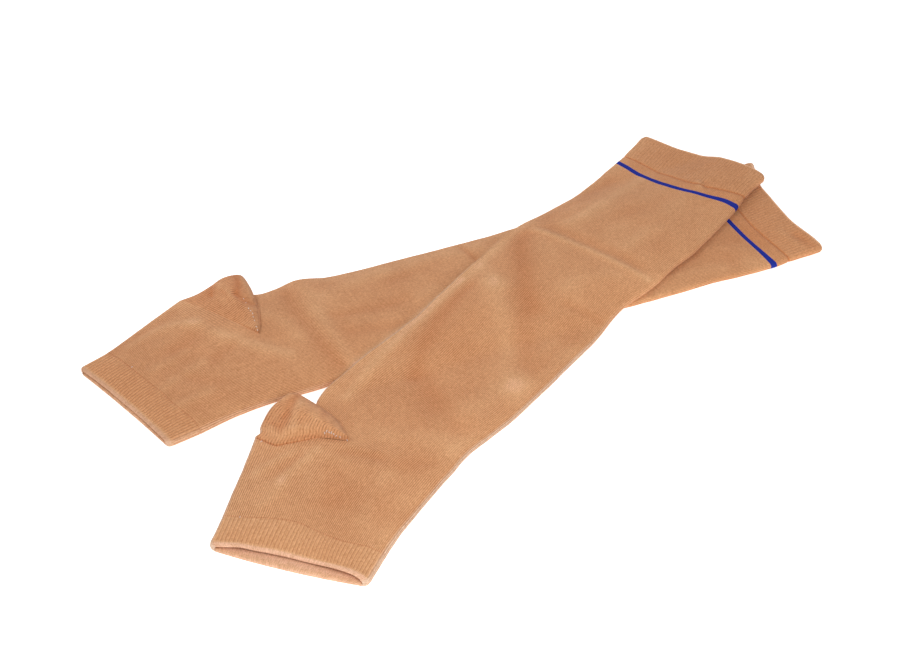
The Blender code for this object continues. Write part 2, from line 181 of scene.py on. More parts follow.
# Heel pocket
POCKET_RAYS = 40
POCKET_EDGE_SWELL = 0.55
POCKET_SLANT = -30.0  # wales that the outline slides by over a whole run of the rays
SLANT_START = 0.45  # ray where the slide begins
LAP_HEIGHT = 1.2
LAP_RISE = 1.5  # how far a lap reaches where it lies at its full height
LAP_REACH = 0.4  # share of the rays that a lap draws along
ROLL_STEPS = 6
ROLL_RADIUS = 1.0
ROLL_ANGLE = 105.0
ROLL_SHADE = 1.2

# Loose loops of yarn
YARN_THICKNESS = 0.42
YARN_SUNK = 0.08
YARN_SIDES = 6
ARCH_STEPS = 9

# A section line crosses the sleeve from its left edge to its right edge. Edge is half the height of
# the folded edge, rise is what the upper layer gains from the edge to the middle, bow is how far
# the line's middle runs ahead, and pull is how far it bends toward the point where the wedge of
# the heel ends, its gusset.
Section = namedtuple(
    "Section", "station left_u left_v right_u right_v edge rise bow pull", defaults=(0.0, 0.0)
)

# Drift is how far a row of knit has slid along the sleeve, in steps from the left to the right.
Drift = namedtuple(
    "Drift", "station at_0 at_15 at_30 at_45 at_60 at_75 at_90 at_100", defaults=(0.0,) * 8
)
DRIFT_PLACES = (0.0, 0.15, 0.3, 0.45, 0.6, 0.75, 0.9, 1.0)

# A crease is a soft ridge, or a trough where its height is negative, along a line that may bend.
# Through the relief a ridge also takes painted highlight and a trough painted shade.
Crease = namedtuple("Crease", "start_u start_v end_u end_v height width bend", defaults=(0.0,))

# A loop of loose yarn stands at a point of the plan.
Loop = namedtuple("Loop", "u v turn length height")

# A band is double cloth: its thickness, the depth of a groove between ribs, how far its smooth lip
# reaches, how deep its seam is drawn in, and the radius of the corners of its mouth.
Band = namedtuple("Band", "wall rib plain seam_depth corner")
HEM = Band(wall=2.3, rib=0.26, plain=3.2, seam_depth=0.2, corner=3.3)
WELT = Band(wall=1.9, rib=0.16, plain=2.0, seam_depth=SEAM_DEPTH, corner=3.8)

# A sleeve lies with the middle of its hem at a place on the floor, and turned. Stripe and welt are
# stations. The pocket's outline goes round from the foot to the leg, in u and v. Puff is how far
# the pocket swells, arc how many millimetres of rows go round it, and the laps are how far its
# edges reach over the tube in front and behind, at shares of the way from the gusset out. At the
# open hem, lip is how far the lower layer reaches out and swell how far its inside rises. Mouth
# raises the upper layer at shares of the way across, mouth_drop lets its middle down, and
# mouth_back draws it in. The rim highlight is how strongly pale highlight is painted on the rims of
# the folds.
Sleeve = namedtuple(
    "Sleeve",
    "name hem_x hem_y turn foot leg stripe welt gusset pocket puff front_lap back_lap lip "
    "swell nap arc drifts creases pocket_creases under_creases mouth mouth_drop mouth_back",
)

# A column is a line of points along a tube: its layer, its place there and its wale. On a layer the
# place runs from 0 at the left fold over 1 at the gusset to 2 at the right, and on a fold it is the
# angle from its outermost line.
Column = namedtuple("Column", "layer place wale")

# A spot is a point of cloth: where it is, its wale and course, its relief, which sets its painted
# light and shade and is mostly how far it stands proud, and how much pale painted highlight it takes
# on the rim of a fold, from 0 to 1.
Spot = namedtuple("Spot", "point wale course relief rim")

# Tables of the near sleeve. Its pocket's outline is in u and v.
NEAR_FOOT = (
    Section(0.0, -17.3, 41.4, 10.5, -44.5, 2.6, 4.6),
    Section(19.0, 2.5, 48.9, 30.5, -40.2, 2.6, 3.9),
    Section(38.0, 21.0, 57.4, 50.5, -37.0, 2.1, 4.2),
    Section(58.0, 40.5, 65.5, 71.0, -35.2, 1.8, 4.4, 0.0, 0.2),
    Section(78.0, 61.0, 75.0, 93.0, -34.0, 1.8, 4.4, 0.0, 1.0),
)
NEAR_LEG = (
    Section(85.0, 98.0, 61.5, 93.0, -34.0, 1.8, 4.4, 0.0, 1.0),
    Section(101.0, 105.0, 63.9, 102.0, -34.0, 1.8, 4.4, 0.0, 0.45),
    Section(116.0, 116.0, 64.4, 116.0, -33.2, 1.8, 4.4, 0.0, 0.1),
    Section(135.0, 135.0, 62.5, 135.0, -35.5, 1.8, 4.3),
    Section(160.0, 160.0, 58.6, 160.0, -39.0, 1.8, 4.3),
    Section(190.0, 190.0, 55.2, 190.0, -40.2, 1.8, 4.3),
    Section(236.0, 236.0, 54.9, 236.0, -41.9, 1.8, 4.3),
    Section(272.0, 272.0, 54.7, 272.0, -41.9, 1.8, 4.3),
    Section(304.0, 304.0, 56.0, 304.0, -48.8, 1.8, 4.3),
    Section(327.0, 327.0, 50.9, 327.0, -50.9, 1.8, 4.2),
    Section(347.0, 347.0, 47.4, 347.0, -54.2, 1.8, 4.2),
    Section(385.0, 386.5, 44.3, 384.5, -55.8, 1.8, 4.1, -3.5),
    Section(405.0, 411.0, 43.0, 402.6, -56.0, 1.9, 4.3, -8.0),
    Section(418.0, 420.0, 42.4, 419.0, -55.4, 2.1, 4.6, -8.0),
    Section(447.0, 453.6, 43.8, 444.5, -57.2, 2.3, 5.0, -0.5),
)
NEAR_POCKET = (
    (61.0, 75.0),
    (64.0, 73.8),
    (67.5, 76.6),
    (78.0, 79.4),
    (86.5, 79.0),
    (93.5, 77.8),
    (97.6, 73.8),
    (98.3, 68.0),
    (98.0, 61.5),
)
NEAR_DRIFTS = (
    Drift(0.0),
    Drift(19.0, 0.0, 0.3, 3.2, 4.3, 1.3, -0.6, 0.6, 0.0),
    Drift(42.0),
    Drift(385.0),
    Drift(403.4, 3.1, 1.8, -0.2, -2.3, -2.6, -1.4, 0.5, -1.3),
    Drift(406.6, 3.7, 2.5, 0.7, -1.2, -2.0, -1.1, 1.3, 0.0),
    Drift(418.0, 3.2, 2.5, 0.8, -2.3, -5.2, -5.6, -4.6, -4.0),
    Drift(447.0, 0.0, -3.1, -4.2, -1.8, 0.6, -0.5, 0.0, 0.0),
)
NEAR_CREASES = (
    # Ridges along the near sleeve's left edge, whose relief paints the band of highlight there
    Crease(112.0, 49.0, 232.0, 50.5, 0.85, 4.2, 2.0),
    Crease(232.0, 50.5, 300.0, 51.5, 0.5, 4.0),
    Crease(303.5, 42.0, 303.0, -44.0, 0.85, 2.6, -1.5),
    Crease(310.5, 34.0, 309.0, -34.0, -0.5, 4.5, -1.5),
    Crease(240.0, 32.0, 176.0, -24.0, 0.8, 9.0, 4.0),
    Crease(296.0, 46.0, 236.0, 0.0, -1.0, 7.5, -3.0),
    Crease(148.0, 27.0, 230.0, 44.0, -0.75, 5.5, 4.0),
    Crease(236.0, 14.0, 194.0, -20.0, -0.6, 8.0, 2.0),
    Crease(152.0, 20.0, 128.0, -20.0, -0.7, 9.0, -3.0),
    Crease(100.0, 12.0, 116.0, -24.0, 0.5, 8.0),
    Crease(75.0, 24.0, 84.0, 2.0, -0.55, 3.4),
    Crease(86.0, -10.0, 98.0, -22.0, -0.45, 6.0),
    Crease(68.0, 35.5, 38.0, 36.5, 0.7, 3.8, -1.0),
    Crease(38.0, 36.5, 18.0, 33.5, 0.5, 3.8, 1.0),
    Crease(72.0, 22.0, 20.0, 26.0, 0.4, 17.0),
    Crease(58.0, 47.0, 36.0, 54.0, 0.6, 2.8),
    Crease(60.0, 41.0, 38.0, 43.0, -0.4, 2.8),
    Crease(42.0, 4.0, 62.0, 20.0, -0.5, 7.5),
    Crease(40.0, -18.0, 74.0, -8.0, 0.35, 6.0, 2.0),
    Crease(318.0, 43.0, 388.0, 36.0, -0.6, 5.5),
    Crease(326.0, 31.0, 345.0, 28.0, -0.35, 3.4),
    Crease(322.0, 25.0, 402.0, 15.0, 0.65, 5.5, -2.0),
    Crease(326.0, 6.0, 362.0, -8.0, -0.35, 6.0, 3.0),
    Crease(318.0, -20.0, 348.0, -25.0, 0.5, 4.5, 2.0),
    Crease(368.0, -22.0, 399.0, -27.0, 0.45, 7.0),
    Crease(252.0, -16.0, 256.0, -38.0, -0.45, 3.6),
    Crease(240.0, 30.0, 252.0, 47.0, 0.5, 7.0),
    Crease(262.0, -8.0, 292.0, -26.0, 0.35, 7.0, 3.0),
    Crease(404.0, -26.5, 409.5, -22.0, 0.9, 1.9),
    Crease(407.0, -31.0, 411.0, -27.5, -0.5, 1.8),
    Crease(190.0, -30.0, 232.0, -32.0, -0.35, 4.0, 1.5),
    Crease(128.0, -10.0, 186.0, -30.0, 0.5, 8.0),
    Crease(62.0, 57.0, 8.0, 39.0, 0.35, 10.0),
    # Broad low ridges that mostly paint paler light along the near sleeve's right side
    Crease(6.0, -38.0, 118.0, -27.0, 0.35, 12.0),
    Crease(132.0, -29.0, 222.0, -36.0, 0.3, 10.0),
)
NEAR_POCKET_CREASES = (
    Crease(95.0, 71.5, 79.0, 66.5, -0.8, 2.4),
    Crease(77.0, 66.0, 66.0, 60.0, -0.8, 2.6),
    Crease(91.0, 66.0, 72.0, 55.5, 0.8, 2.6),
    Crease(66.0, 71.0, 65.0, 59.0, 0.6, 4.0),
    Crease(71.0, 74.0, 69.0, 64.0, -0.6, 1.9),
    Crease(90.0, 62.0, 84.0, 48.0, 0.7, 4.5),
    Crease(92.0, 48.0, 86.0, 45.0, -0.5, 2.2),
    Crease(88.0, 76.5, 94.0, 74.5, 0.6, 2.0),
    Crease(70.0, 57.0, 76.0, 48.0, 0.4, 3.2),
)

# Tables of the far sleeve
FAR_FOOT = (
    Section(0.0, -15.8, 39.9, 13.6, -45.4, 2.5, 4.0),
    Section(19.0, 3.5, 46.5, 32.5, -42.3, 2.5, 3.9),
    Section(38.0, 21.0, 56.0, 52.0, -38.3, 2.1, 4.2),
    Section(58.0, 39.5, 66.7, 73.5, -35.8, 1.8, 4.4, 0.0, 0.2),
    Section(80.0, 58.0, 76.5, 97.0, -36.0, 1.8, 4.4, 0.0, 1.0),
)
FAR_LEG = (
    Section(88.0, 101.0, 62.0, 97.0, -36.0, 1.8, 4.4, 0.0, 1.0),
    Section(104.0, 108.0, 60.4, 104.0, -36.2, 1.8, 4.4, 0.0, 0.45),
    Section(118.0, 118.0, 61.4, 118.0, -36.2, 1.8, 4.4, 0.0, 0.1),
    Section(132.0, 132.0, 64.2, 132.0, -37.6, 1.8, 4.3),
    Section(150.0, 150.0, 58.8, 150.0, -38.5, 1.8, 4.3),
    Section(190.0, 190.0, 55.6, 190.0, -40.2, 1.8, 4.3),
    Section(260.0, 260.0, 53.0, 260.0, -42.9, 1.8, 4.3),
    Section(306.0, 306.0, 53.4, 306.0, -48.4, 1.8, 4.3),
    Section(350.0, 350.0, 49.0, 350.0, -50.7, 1.8, 4.2),
    Section(374.0, 374.0, 47.0, 374.0, -50.9, 1.8, 4.1),
    Section(390.0, 390.0, 45.6, 390.0, -52.8, 1.8, 4.1),
    Section(414.0, 411.0, 45.0, 416.5, -54.5, 1.9, 4.1, -1.0),
    Section(427.0, 425.5, 45.0, 429.0, -53.9, 2.1, 4.3, -2.0),
    Section(456.0, 468.0, 51.0, 454.0, -54.2, 2.3, 4.5, -8.0),
)
FAR_POCKET = (
    (58.0, 76.5),
    (69.0, 77.2),
    (80.0, 81.0),
    (88.0, 84.8),
    (95.0, 85.2),
    (100.6, 83.4),
    (102.3, 78.0),
    (102.2, 70.0),
    (101.0, 62.0),
)
FAR_DRIFTS = (
    Drift(0.0),
    Drift(19.0, 0.0, 0.4, 0.2, 0.6, 0.8, 0.6, 2.0, 1.0),
    Drift(42.0),
    Drift(394.0),
    Drift(412.4, 0.0, 0.0, 0.0, -0.6, -1.4, -1.7, -1.2, -0.8),
    Drift(415.6, 0.0, 0.0, 0.0, -0.6, -1.4, -1.9, -1.0, 0.4),
    Drift(427.0, 0.0, 0.0, 0.0, -1.0, -2.6, -2.7, -1.6, -0.6),
    Drift(456.0, 0.0, -1.5, -3.4, -2.2, -2.0, -2.0, 0.6, 1.6),
)
FAR_CREASES = (
    Crease(18.0, 43.0, 60.0, 46.0, 0.7, 4.0, 6.0),
    Crease(58.0, 46.0, 100.0, -6.0, 0.85, 5.0, -2.0),
    Crease(6.0, 43.0, 52.0, 66.0, -0.6, 4.0),
    Crease(22.0, 13.0, 44.0, 22.0, 0.5, 3.4),
    Crease(22.0, -6.0, 54.0, 9.0, 0.5, 3.2, 1.5),
    Crease(26.0, -22.0, 47.0, -17.0, 0.55, 3.6),
    Crease(40.0, 26.0, 62.0, 38.0, -0.6, 6.5),
    Crease(58.0, 8.0, 74.0, 17.0, -0.5, 4.5),
    Crease(36.0, 2.0, 56.0, -12.0, -0.35, 4.0),
    Crease(119.0, 57.0, 126.0, -32.0, -0.55, 5.5, -2.0),
    Crease(133.0, 50.0, 133.5, -28.0, 0.6, 4.8, -2.5),
    Crease(140.0, 15.0, 186.0, 9.0, -0.55, 5.0),
    Crease(144.0, -3.0, 184.0, -12.0, -0.45, 5.0),
    Crease(186.0, 33.0, 220.0, 37.0, -0.45, 6.0),
    Crease(140.0, 36.0, 184.0, 44.0, 0.5, 6.0, 2.0),
    Crease(186.0, 42.0, 250.0, 42.0, 0.5, 8.0),
    Crease(186.0, 8.0, 206.0, 12.0, 0.4, 5.0),
    Crease(240.0, 48.0, 243.0, 25.0, -0.85, 2.0),
    Crease(96.0, 40.0, 112.0, 8.0, 0.35, 6.0, 3.0),
    Crease(340.0, -38.0, 384.0, -44.0, 0.4, 4.0, 1.0),
    Crease(444.0, -38.0, 450.0, -53.0, -0.6, 3.0),
    Crease(436.0, -30.0, 440.0, -50.0, 0.35, 3.0),
    Crease(384.0, -26.0, 404.0, -34.0, 0.35, 6.0),
    # Broad shallow trough that mostly paints the near sleeve's shadow onto the far one's right side
    Crease(330.0, -26.0, 420.0, -24.0, -0.6, 16.0),
    # Ridge just outside the near sleeve's left edge, so that no shadow gathers there; its relief
    # also paints highlight along it
    Crease(117.5, -37.2, 276.0, 45.7, 1.9, 2.4, -5.4),
)
FAR_POCKET_CREASES = (
    Crease(97.0, 82.0, 90.5, 60.0, -1.0, 2.7, 1.5),
    Crease(90.5, 61.0, 96.5, 44.0, -0.9, 2.3, -1.5),
    Crease(85.0, 79.0, 86.0, 58.0, 0.8, 3.4),
    Crease(76.5, 68.0, 80.5, 79.0, -1.0, 1.7),
    Crease(84.0, 68.0, 85.0, 56.0, -0.8, 1.5),
    Crease(66.0, 62.0, 74.0, 71.0, -0.4, 4.5),
    Crease(100.0, 76.0, 98.5, 52.0, 0.7, 2.0),
    Crease(60.0, 44.0, 92.0, 24.0, 0.7, 5.0, -2.0),
)

# Creases of the lower layer of both
UNDER_CREASES = (
    Crease(30.0, -20.0, 70.0, 6.0, 0.5, 6.0, 3.0),
    Crease(108.0, 44.0, 190.0, 38.0, 0.6, 5.0, -3.0),
    Crease(150.0, -20.0, 208.0, 18.0, 0.55, 7.0, 4.0),
    Crease(246.0, 40.0, 262.0, -30.0, 0.5, 4.0, 3.0),
    Crease(300.0, 30.0, 352.0, -12.0, 0.6, 7.0, -4.0),
    Crease(352.0, 34.0, 398.0, 22.0, 0.45, 5.0),
    Crease(366.0, -34.0, 400.0, -16.0, 0.45, 5.0, 2.0),
)

# Loose yarn along the seams of the heels
NEAR_LOOPS = (
    Loop(78.9, 38.4, 70.0, 1.3, 0.7),
    Loop(80.1, 37.5, 20.0, 1.5, 0.8),
    Loop(80.2, 36.1, 110.0, 1.2, 0.6),
    Loop(80.9, 34.9, 40.0, 1.7, 0.6),
    Loop(81.0, 33.6, 80.0, 1.2, 0.5),
    Loop(81.4, 31.8, 15.0, 1.4, 0.4),
    Loop(82.1, 29.9, 60.0, 1.1, 0.4),
    Loop(83.5, 26.1, 80.0, 0.8, 0.7),
    Loop(58.2, 67.8, 0.0, 0.9, 0.5),
    Loop(5.6, 38.2, 0.0, 0.5, 0.3),
)
FAR_LOOPS = (
    Loop(93.0, 52.8, 80.0, 0.7, 0.3),
    Loop(93.0, 48.2, 60.0, 0.7, 0.3),
    Loop(92.3, 41.2, 75.0, 1.1, 0.4),
    Loop(92.6, 38.4, 110.0, 0.9, 0.4),
    Loop(93.0, 35.8, 70.0, 1.1, 0.4),
    Loop(92.3, 32.7, 90.0, 0.8, 0.4),
    Loop(91.9, 29.1, 60.0, 0.8, 0.4),
    Loop(90.9, 22.9, 100.0, 1.0, 0.4),
    Loop(90.7, 20.7, 70.0, 0.9, 0.4),
    Loop(12.4, 22.0, 30.0, 0.8, 0.3),
)

NEAR = Sleeve(
    name="near",
    hem_x=-213.18,
    hem_y=-90.22,
    turn=15.05,
    foot=NEAR_FOOT,
    leg=NEAR_LEG,
    stripe=405.0,
    welt=418.0,
    gusset=(84.0, 25.0),
    pocket=NEAR_POCKET,
    puff=3.0,
    front_lap=((0.0, 0.0), (0.3, 0.0), (0.38, 0.5), (0.7, 8.2), (0.74, 8.4), (1.0, 1.0)),
    back_lap=((0.0, 0.0), (0.15, 1.2), (0.45, 3.0), (0.8, 1.8), (1.0, 0.0)),
    lip=2.0,
    swell=1.1,
    nap=1.0,
    arc=46.0,
    drifts=NEAR_DRIFTS,
    creases=NEAR_CREASES,
    pocket_creases=NEAR_POCKET_CREASES,
    under_creases=UNDER_CREASES,
    mouth=((0.0, 0.0), (0.08, 0.2), (0.17, 1.2), (0.26, 0.2), (0.45, 0.3), (0.6, 0.0), (0.8, 1.3),
           (0.92, 1.5), (1.0, 0.0)),
    mouth_drop=4.0,
    mouth_back=4.0,
)
FAR = Sleeve(
    name="far",
    hem_x=-216.78,
    hem_y=70.38,
    turn=-15.05,
    foot=FAR_FOOT,
    leg=FAR_LEG,
    stripe=414.0,
    welt=427.0,
    gusset=(91.0, 19.0),
    pocket=FAR_POCKET,
    puff=1.4,
    front_lap=((0.0, 0.0), (1.0, 0.0)),
    back_lap=((0.0, 0.0), (0.15, 1.0), (0.5, 2.0), (0.85, 1.2), (1.0, 0.0)),
    lip=-0.8,
    swell=0.3,
    nap=0.45,
    arc=52.0,
    drifts=FAR_DRIFTS,
    creases=FAR_CREASES,
    pocket_creases=FAR_POCKET_CREASES,
    under_creases=UNDER_CREASES,
    mouth=((0.0, 0.0), (0.2, -0.3), (0.4, -0.8), (0.6, -0.6), (0.8, -0.9), (1.0, 0.0)),
    mouth_drop=3.7,
    mouth_back=1.8,
)


# ---- The plan and height of a sleeve ----


def smooth_step(value):
    """Go from 0 to 1 with no kink at either end."""
    value = min(1.0, max(0.0, value))
    return value * value * (3.0 - 2.0 * value)


def hump(share):
    """Go from 0 at either end to 1 in the middle."""
    return 4.0 * share * (1.0 - share)


def between(first, second, share):
    """Value that lies the given share of the way from the first to the second."""
    return first + (second - first) * share


def point_between(first, second, share):
    """Point that lies the given share of the way from the first to the second."""
    return tuple(between(a, b, share) for a, b in zip(first, second))


def curve_through(rows, place):
    """Read a smooth curve through rows, each of which starts with its place on the curve."""
    last = len(rows) - 2
    index = max(i for i in range(last + 1) if i == 0 or rows[i][0] <= place)
    low, high = rows[index], rows[index + 1]
    span = high[0] - low[0]
    share = (place - low[0]) / span

    def slope(at):
        """Slope of each value at a row, from the rows beside it."""
        before, after = rows[max(at - 1, 0)], rows[min(at + 1, last + 1)]
        return [(b - a) / (after[0] - before[0]) * span for a, b in zip(before, after)]

    square, cube = share**2, share**3
    weights = (
        2 * cube - 3 * square + 1,
        3 * square - 2 * cube,
        cube - 2 * square + share,
        cube - square,
    )
    return [
        sum(weight * part for weight, part in zip(weights, parts))
        for parts in zip(low, high, slope(index), slope(index + 1))
    ]


def straight_through(table, place):
    """Read straight lines through pairs of a place and a value."""
    for (low, start), (high, end) in zip(table, table[1:]):
        if place <= high:
            return between(start, end, max(0.0, place - low) / (high - low))
    return table[-1][1]


@lru_cache(maxsize=None)
def section_at(sections, station):
    """Section line of the sleeve at any station between two rows of its table."""
    return Section(*curve_through(sections, station))


@lru_cache(maxsize=None)
def drift_row(drifts, station):
    """How far the knit has slid at a station, as a curve from the left edge to the right."""
    station = min(drifts[-1].station, max(0.0, station))
    return tuple(zip(DRIFT_PLACES, curve_through(drifts, station)[1:]))


def line_point(sleeve, section, across):
    """Plan point on a section line, from 0 at the left edge to 1 at the right edge."""
    left = (section.left_u, section.left_v)
    right = (section.right_u, section.right_v)
    u, v = point_between(left, right, across)
    plain = (u + section.bow * hump(across), v)
    if across < GUSSET_ACROSS:
        bent = point_between(left, sleeve.gusset, across / GUSSET_ACROSS)
    else:
        past = (across - GUSSET_ACROSS) / (1.0 - GUSSET_ACROSS)
        bent = point_between(sleeve.gusset, right, past)
    u, v = point_between(plain, bent, min(1.0, max(0.0, section.pull)))
    slid = curve_through(drift_row(sleeve.drifts, section.station), across)[1]
    return u + slid, v


def crown(across):
    """Share of the rise that the upper layer has, 0 at both edges and nearly 1 between them."""
    return 1.0 - abs(2.0 * across - 1.0) ** 3


def crease_height(creases, u, v):
    """What a table of creases adds at a plan point."""
    total = 0.0
    for crease in creases:
        run_u = crease.end_u - crease.start_u
        run_v = crease.end_v - crease.start_v
        length = math.hypot(run_u, run_v)
        reach = CREASE_REACH * crease.width
        along = ((u - crease.start_u) * run_u + (v - crease.start_v) * run_v) / length
        if not -reach < along < length + reach:
            continue
        aside = ((u - crease.start_u) * run_v - (v - crease.start_v) * run_u) / length
        aside += crease.bend * hump(min(1.0, max(0.0, along / length)))
        beyond = max(0.0, -along, along - length)
        far_off = (aside**2 + beyond**2) / crease.width**2
        if far_off < CREASE_REACH**2:
            total += crease.height * math.exp(-far_off)
    return total


def knit_waver(u, v, seed):
    """Unevenness of the cloth, about 1 at most, in lumps of 14 by 11 mm and of 4.5 by 4 mm."""
    broad = noise.noise(Vector((u / 14.0, v / 11.0, seed)))
    fine = noise.noise(Vector((u / 4.5, v / 4.0, seed + 7.0)))
    return 0.75 * broad + 0.3 * fine


def to_world(sleeve, u, v):
    """Place on the floor of a point of a sleeve's plan."""
    turn = math.radians(sleeve.turn)
    x = sleeve.hem_x + u * math.cos(turn) - v * math.sin(turn)
    y = sleeve.hem_y + u * math.sin(turn) + v * math.cos(turn)
    return x, y


def to_plan(sleeve, x, y):
    """Point of a sleeve's plan that lies at a place on the floor."""
    turn = math.radians(sleeve.turn)
    x -= sleeve.hem_x
    y -= sleeve.hem_y
    return x * math.cos(turn) + y * math.sin(turn), y * math.cos(turn) - x * math.sin(turn)


def top_of_far(u, v):
    """Height over the floor that cloth laid on the far sleeve keeps, beside it as well as on it."""
    first, last = FAR.leg[0], FAR.leg[-1]
    station = min(last.station, max(first.station, u))
    section = Section(*curve_through(FAR.leg, station))
    across = (section.left_v - v) / (section.left_v - section.right_v)
    across = min(1.0, max(0.0, across))
    height = 2.0 * section.edge + section.rise * crown(across) + DRAPE_GAP
    height += crease_height(FAR.creases, u, v) * smooth_step(2.0 * hump(across))
    height += WELT_RIB_HEIGHT * smooth_step((u - FAR.welt + DRAPE_RUN) / DRAPE_RUN)
    end = between(last.left_u, last.right_u, across) + last.bow * hump(across)
    beside = min(section.left_v - v, v - section.right_v)
    beside_share = smooth_step((beside + DRAPE_RUN) / (DRAPE_RUN + section.edge))
    beyond_share = smooth_step((end - u + DRAPE_RUN) / DRAPE_RUN)
    return height * beside_share * beyond_share


def lift(sleeve, x, y):
    """Height of a sleeve's underside over the floor."""
    if sleeve is FAR:
        return 0.0
    return top_of_far(*to_plan(FAR, x, y))


def placed(sleeve, u, v, z):
    """Finished point in metres, with the drape over the other sleeve."""
    x, y = to_world(sleeve, u, v)
    return Vector((x, y, z + lift(sleeve, x, y))) * MM


# ---- Tubes of knit ----


def wale_at(layer, share):
    """Wale at a share of the way round a fold, or across a layer from its left.

    The wales of the upper layer are set a little closer on its right.
    """
    right_fold = FOLD_WALES + UPPER_WALES
    if layer == "left":
        return FOLD_WALES * share
    if layer == "upper":
        return FOLD_WALES + UPPER_WALES * (EVENNESS * share + (1.0 - EVENNESS) * share**2)
    if layer == "right":
        return right_fold + FOLD_WALES * share
    return WALES - (WALES - right_fold - FOLD_WALES) * share


def ring(left, right, fold, under_left, under_right):
    """Columns once round a tube, in steps: its left fold, upper layer, right fold, lower layer."""
    # Layer, first and last place, first and last share of the way across or round, steps
    stretches = (
        ("left", -90.0, 90.0, 0.0, 1.0, fold),
        ("upper", 0.0, 1.0, 0.0, GUSSET_ACROSS, left),
        ("upper", 1.0, 2.0, GUSSET_ACROSS, 1.0, right),
        ("right", 90.0, -90.0, 0.0, 1.0, fold),
        ("lower", 2.0, 1.0, 1.0, GUSSET_ACROSS, under_right),
        ("lower", 1.0, 0.0, GUSSET_ACROSS, 0.0, under_left),
    )
    columns = []
    for layer, first, last, start, end, steps in stretches:
        for step in range(steps):
            share = step / steps
            wale = wale_at(layer, between(start, end, share))
            columns.append(Column(layer, between(first, last, share), wale))
    columns.append(Column("left", -90.0, WALES))
    return columns


def layer_across(section, place):
    """Share of the way across a layer, from a column's place on it."""
    tangent = section.edge * SHARE_OF_MM
    if place <= 1.0:
        return tangent + (GUSSET_ACROSS - tangent) * place
    return GUSSET_ACROSS + (1.0 - tangent - GUSSET_ACROSS) * (place - 1.0)


def fold_rim_highlight(sleeve, station, angle):
    """How much pale highlight is painted at an angle round a fold, less toward the top of the
    sleeve.
    """
    breadth = smooth_step(RIM_HIGHLIGHT_BREADTH * math.cos(angle))
    return sleeve.nap * breadth * smooth_step((RIM_HIGHLIGHT_END - station) / RIM_HIGHLIGHT_FADE)


def edge_waver(sleeve, section, u, side):
    """How far a folded edge strays from its smooth line, on side 0, the left, or side 1."""
    free = 1.0 - min(1.0, max(0.0, section.pull))
    beside = 3.0 * side + (0.0 if sleeve is NEAR else 20.0)  # so that no two edges are alike
    strays = [
        height * noise.noise(Vector((u / length, beside, seed)))
        for length, seed, height in EDGE_WAVES
    ]
    return free * sum(strays)


def tube_spot(sleeve, section, column, inset=0.0, rib=0.0, ahead=0.0, raised=0.0, back=0.0):
    """Spot on a tube's outer side, or on its inner side where inset is the wall.

    rib is the depth of a rib's groove. At the mouth, ahead moves the lower layer out, back draws
    the upper layer in, and raised lifts either.
    """
    groove = rib * (0.5 - 0.5 * math.cos(2.0 * math.pi * column.wale / WALES_A_RIB))
    if column.layer in ("left", "right"):
        angle = math.radians(column.place)
        rising = math.sin(angle)
        radius = section.edge - inset - groove
        from_edge = (section.edge - radius * math.cos(angle)) * SHARE_OF_MM
        on_left = column.layer == "left"
        across = from_edge if on_left else 1.0 - from_edge
        z = section.edge + radius * rising + section.rise * crown(across) * max(0.0, rising)
        u, v = line_point(sleeve, section, across)
        # Painted highlight on the upper half of a fold, more on the left one, which faces the light
        relief = (LEFT_FOLD_HIGHLIGHT if on_left else RIGHT_FOLD_HIGHLIGHT) * max(0.0, rising)
        # Pale painted highlight on the fold's rim
        rim = fold_rim_highlight(sleeve, section.station, angle)
    else:
        across = layer_across(section, column.place)
        fade = smooth_step(2.0 * hump(across))
        rim = 0.0
        u, v = line_point(sleeve, section, across)
        if column.layer == "upper":
            relief = crease_height(sleeve.creases, u, v)
            z = 2.0 * section.edge + section.rise * crown(across) - inset - groove
            z += (relief + WAVER_HEIGHT * knit_waver(u, v, 1.0)) * fade + raised
            # Painted highlight on the upper layer toward its folds
            relief += (LEFT_FOLD_HIGHLIGHT if across < 0.5 else RIGHT_FOLD_HIGHLIGHT) * (1.0 - fade)
            u += back * hump(across)
        else:
            hollow = max(0.0, crease_height(sleeve.under_creases, u, v))
            hollow += WAVER_HEIGHT * max(0.0, knit_waver(u, v, 3.0))
            z = inset + groove + hollow * fade + raised * hump(across)
            relief = -hollow
            u -= ahead * hump(across)
    v += edge_waver(sleeve, section, u, 0) * (1.0 - across)
    v += edge_waver(sleeve, section, u, 1) * across
    return Spot(placed(sleeve, u, v, z), column.wale, section.station / COURSE, relief, rim)


def stations_between(start, end, step):
    """Evenly spaced stations, no further apart than a step."""
    steps = max(1, math.ceil((end - start) / step))
    return [start + (end - start) * index / steps for index in range(steps + 1)]


def new_cloth():
    """Empty mesh with a map of the knit and room for the relief of each point, which sets its
    painted light and shade, and for its painted rim highlight.
    """
    bm = bmesh.new()
    bm.loops.layers.uv.new("knit")
    bm.verts.layers.float.new("relief")
    bm.verts.layers.float.new("rim")
    return bm


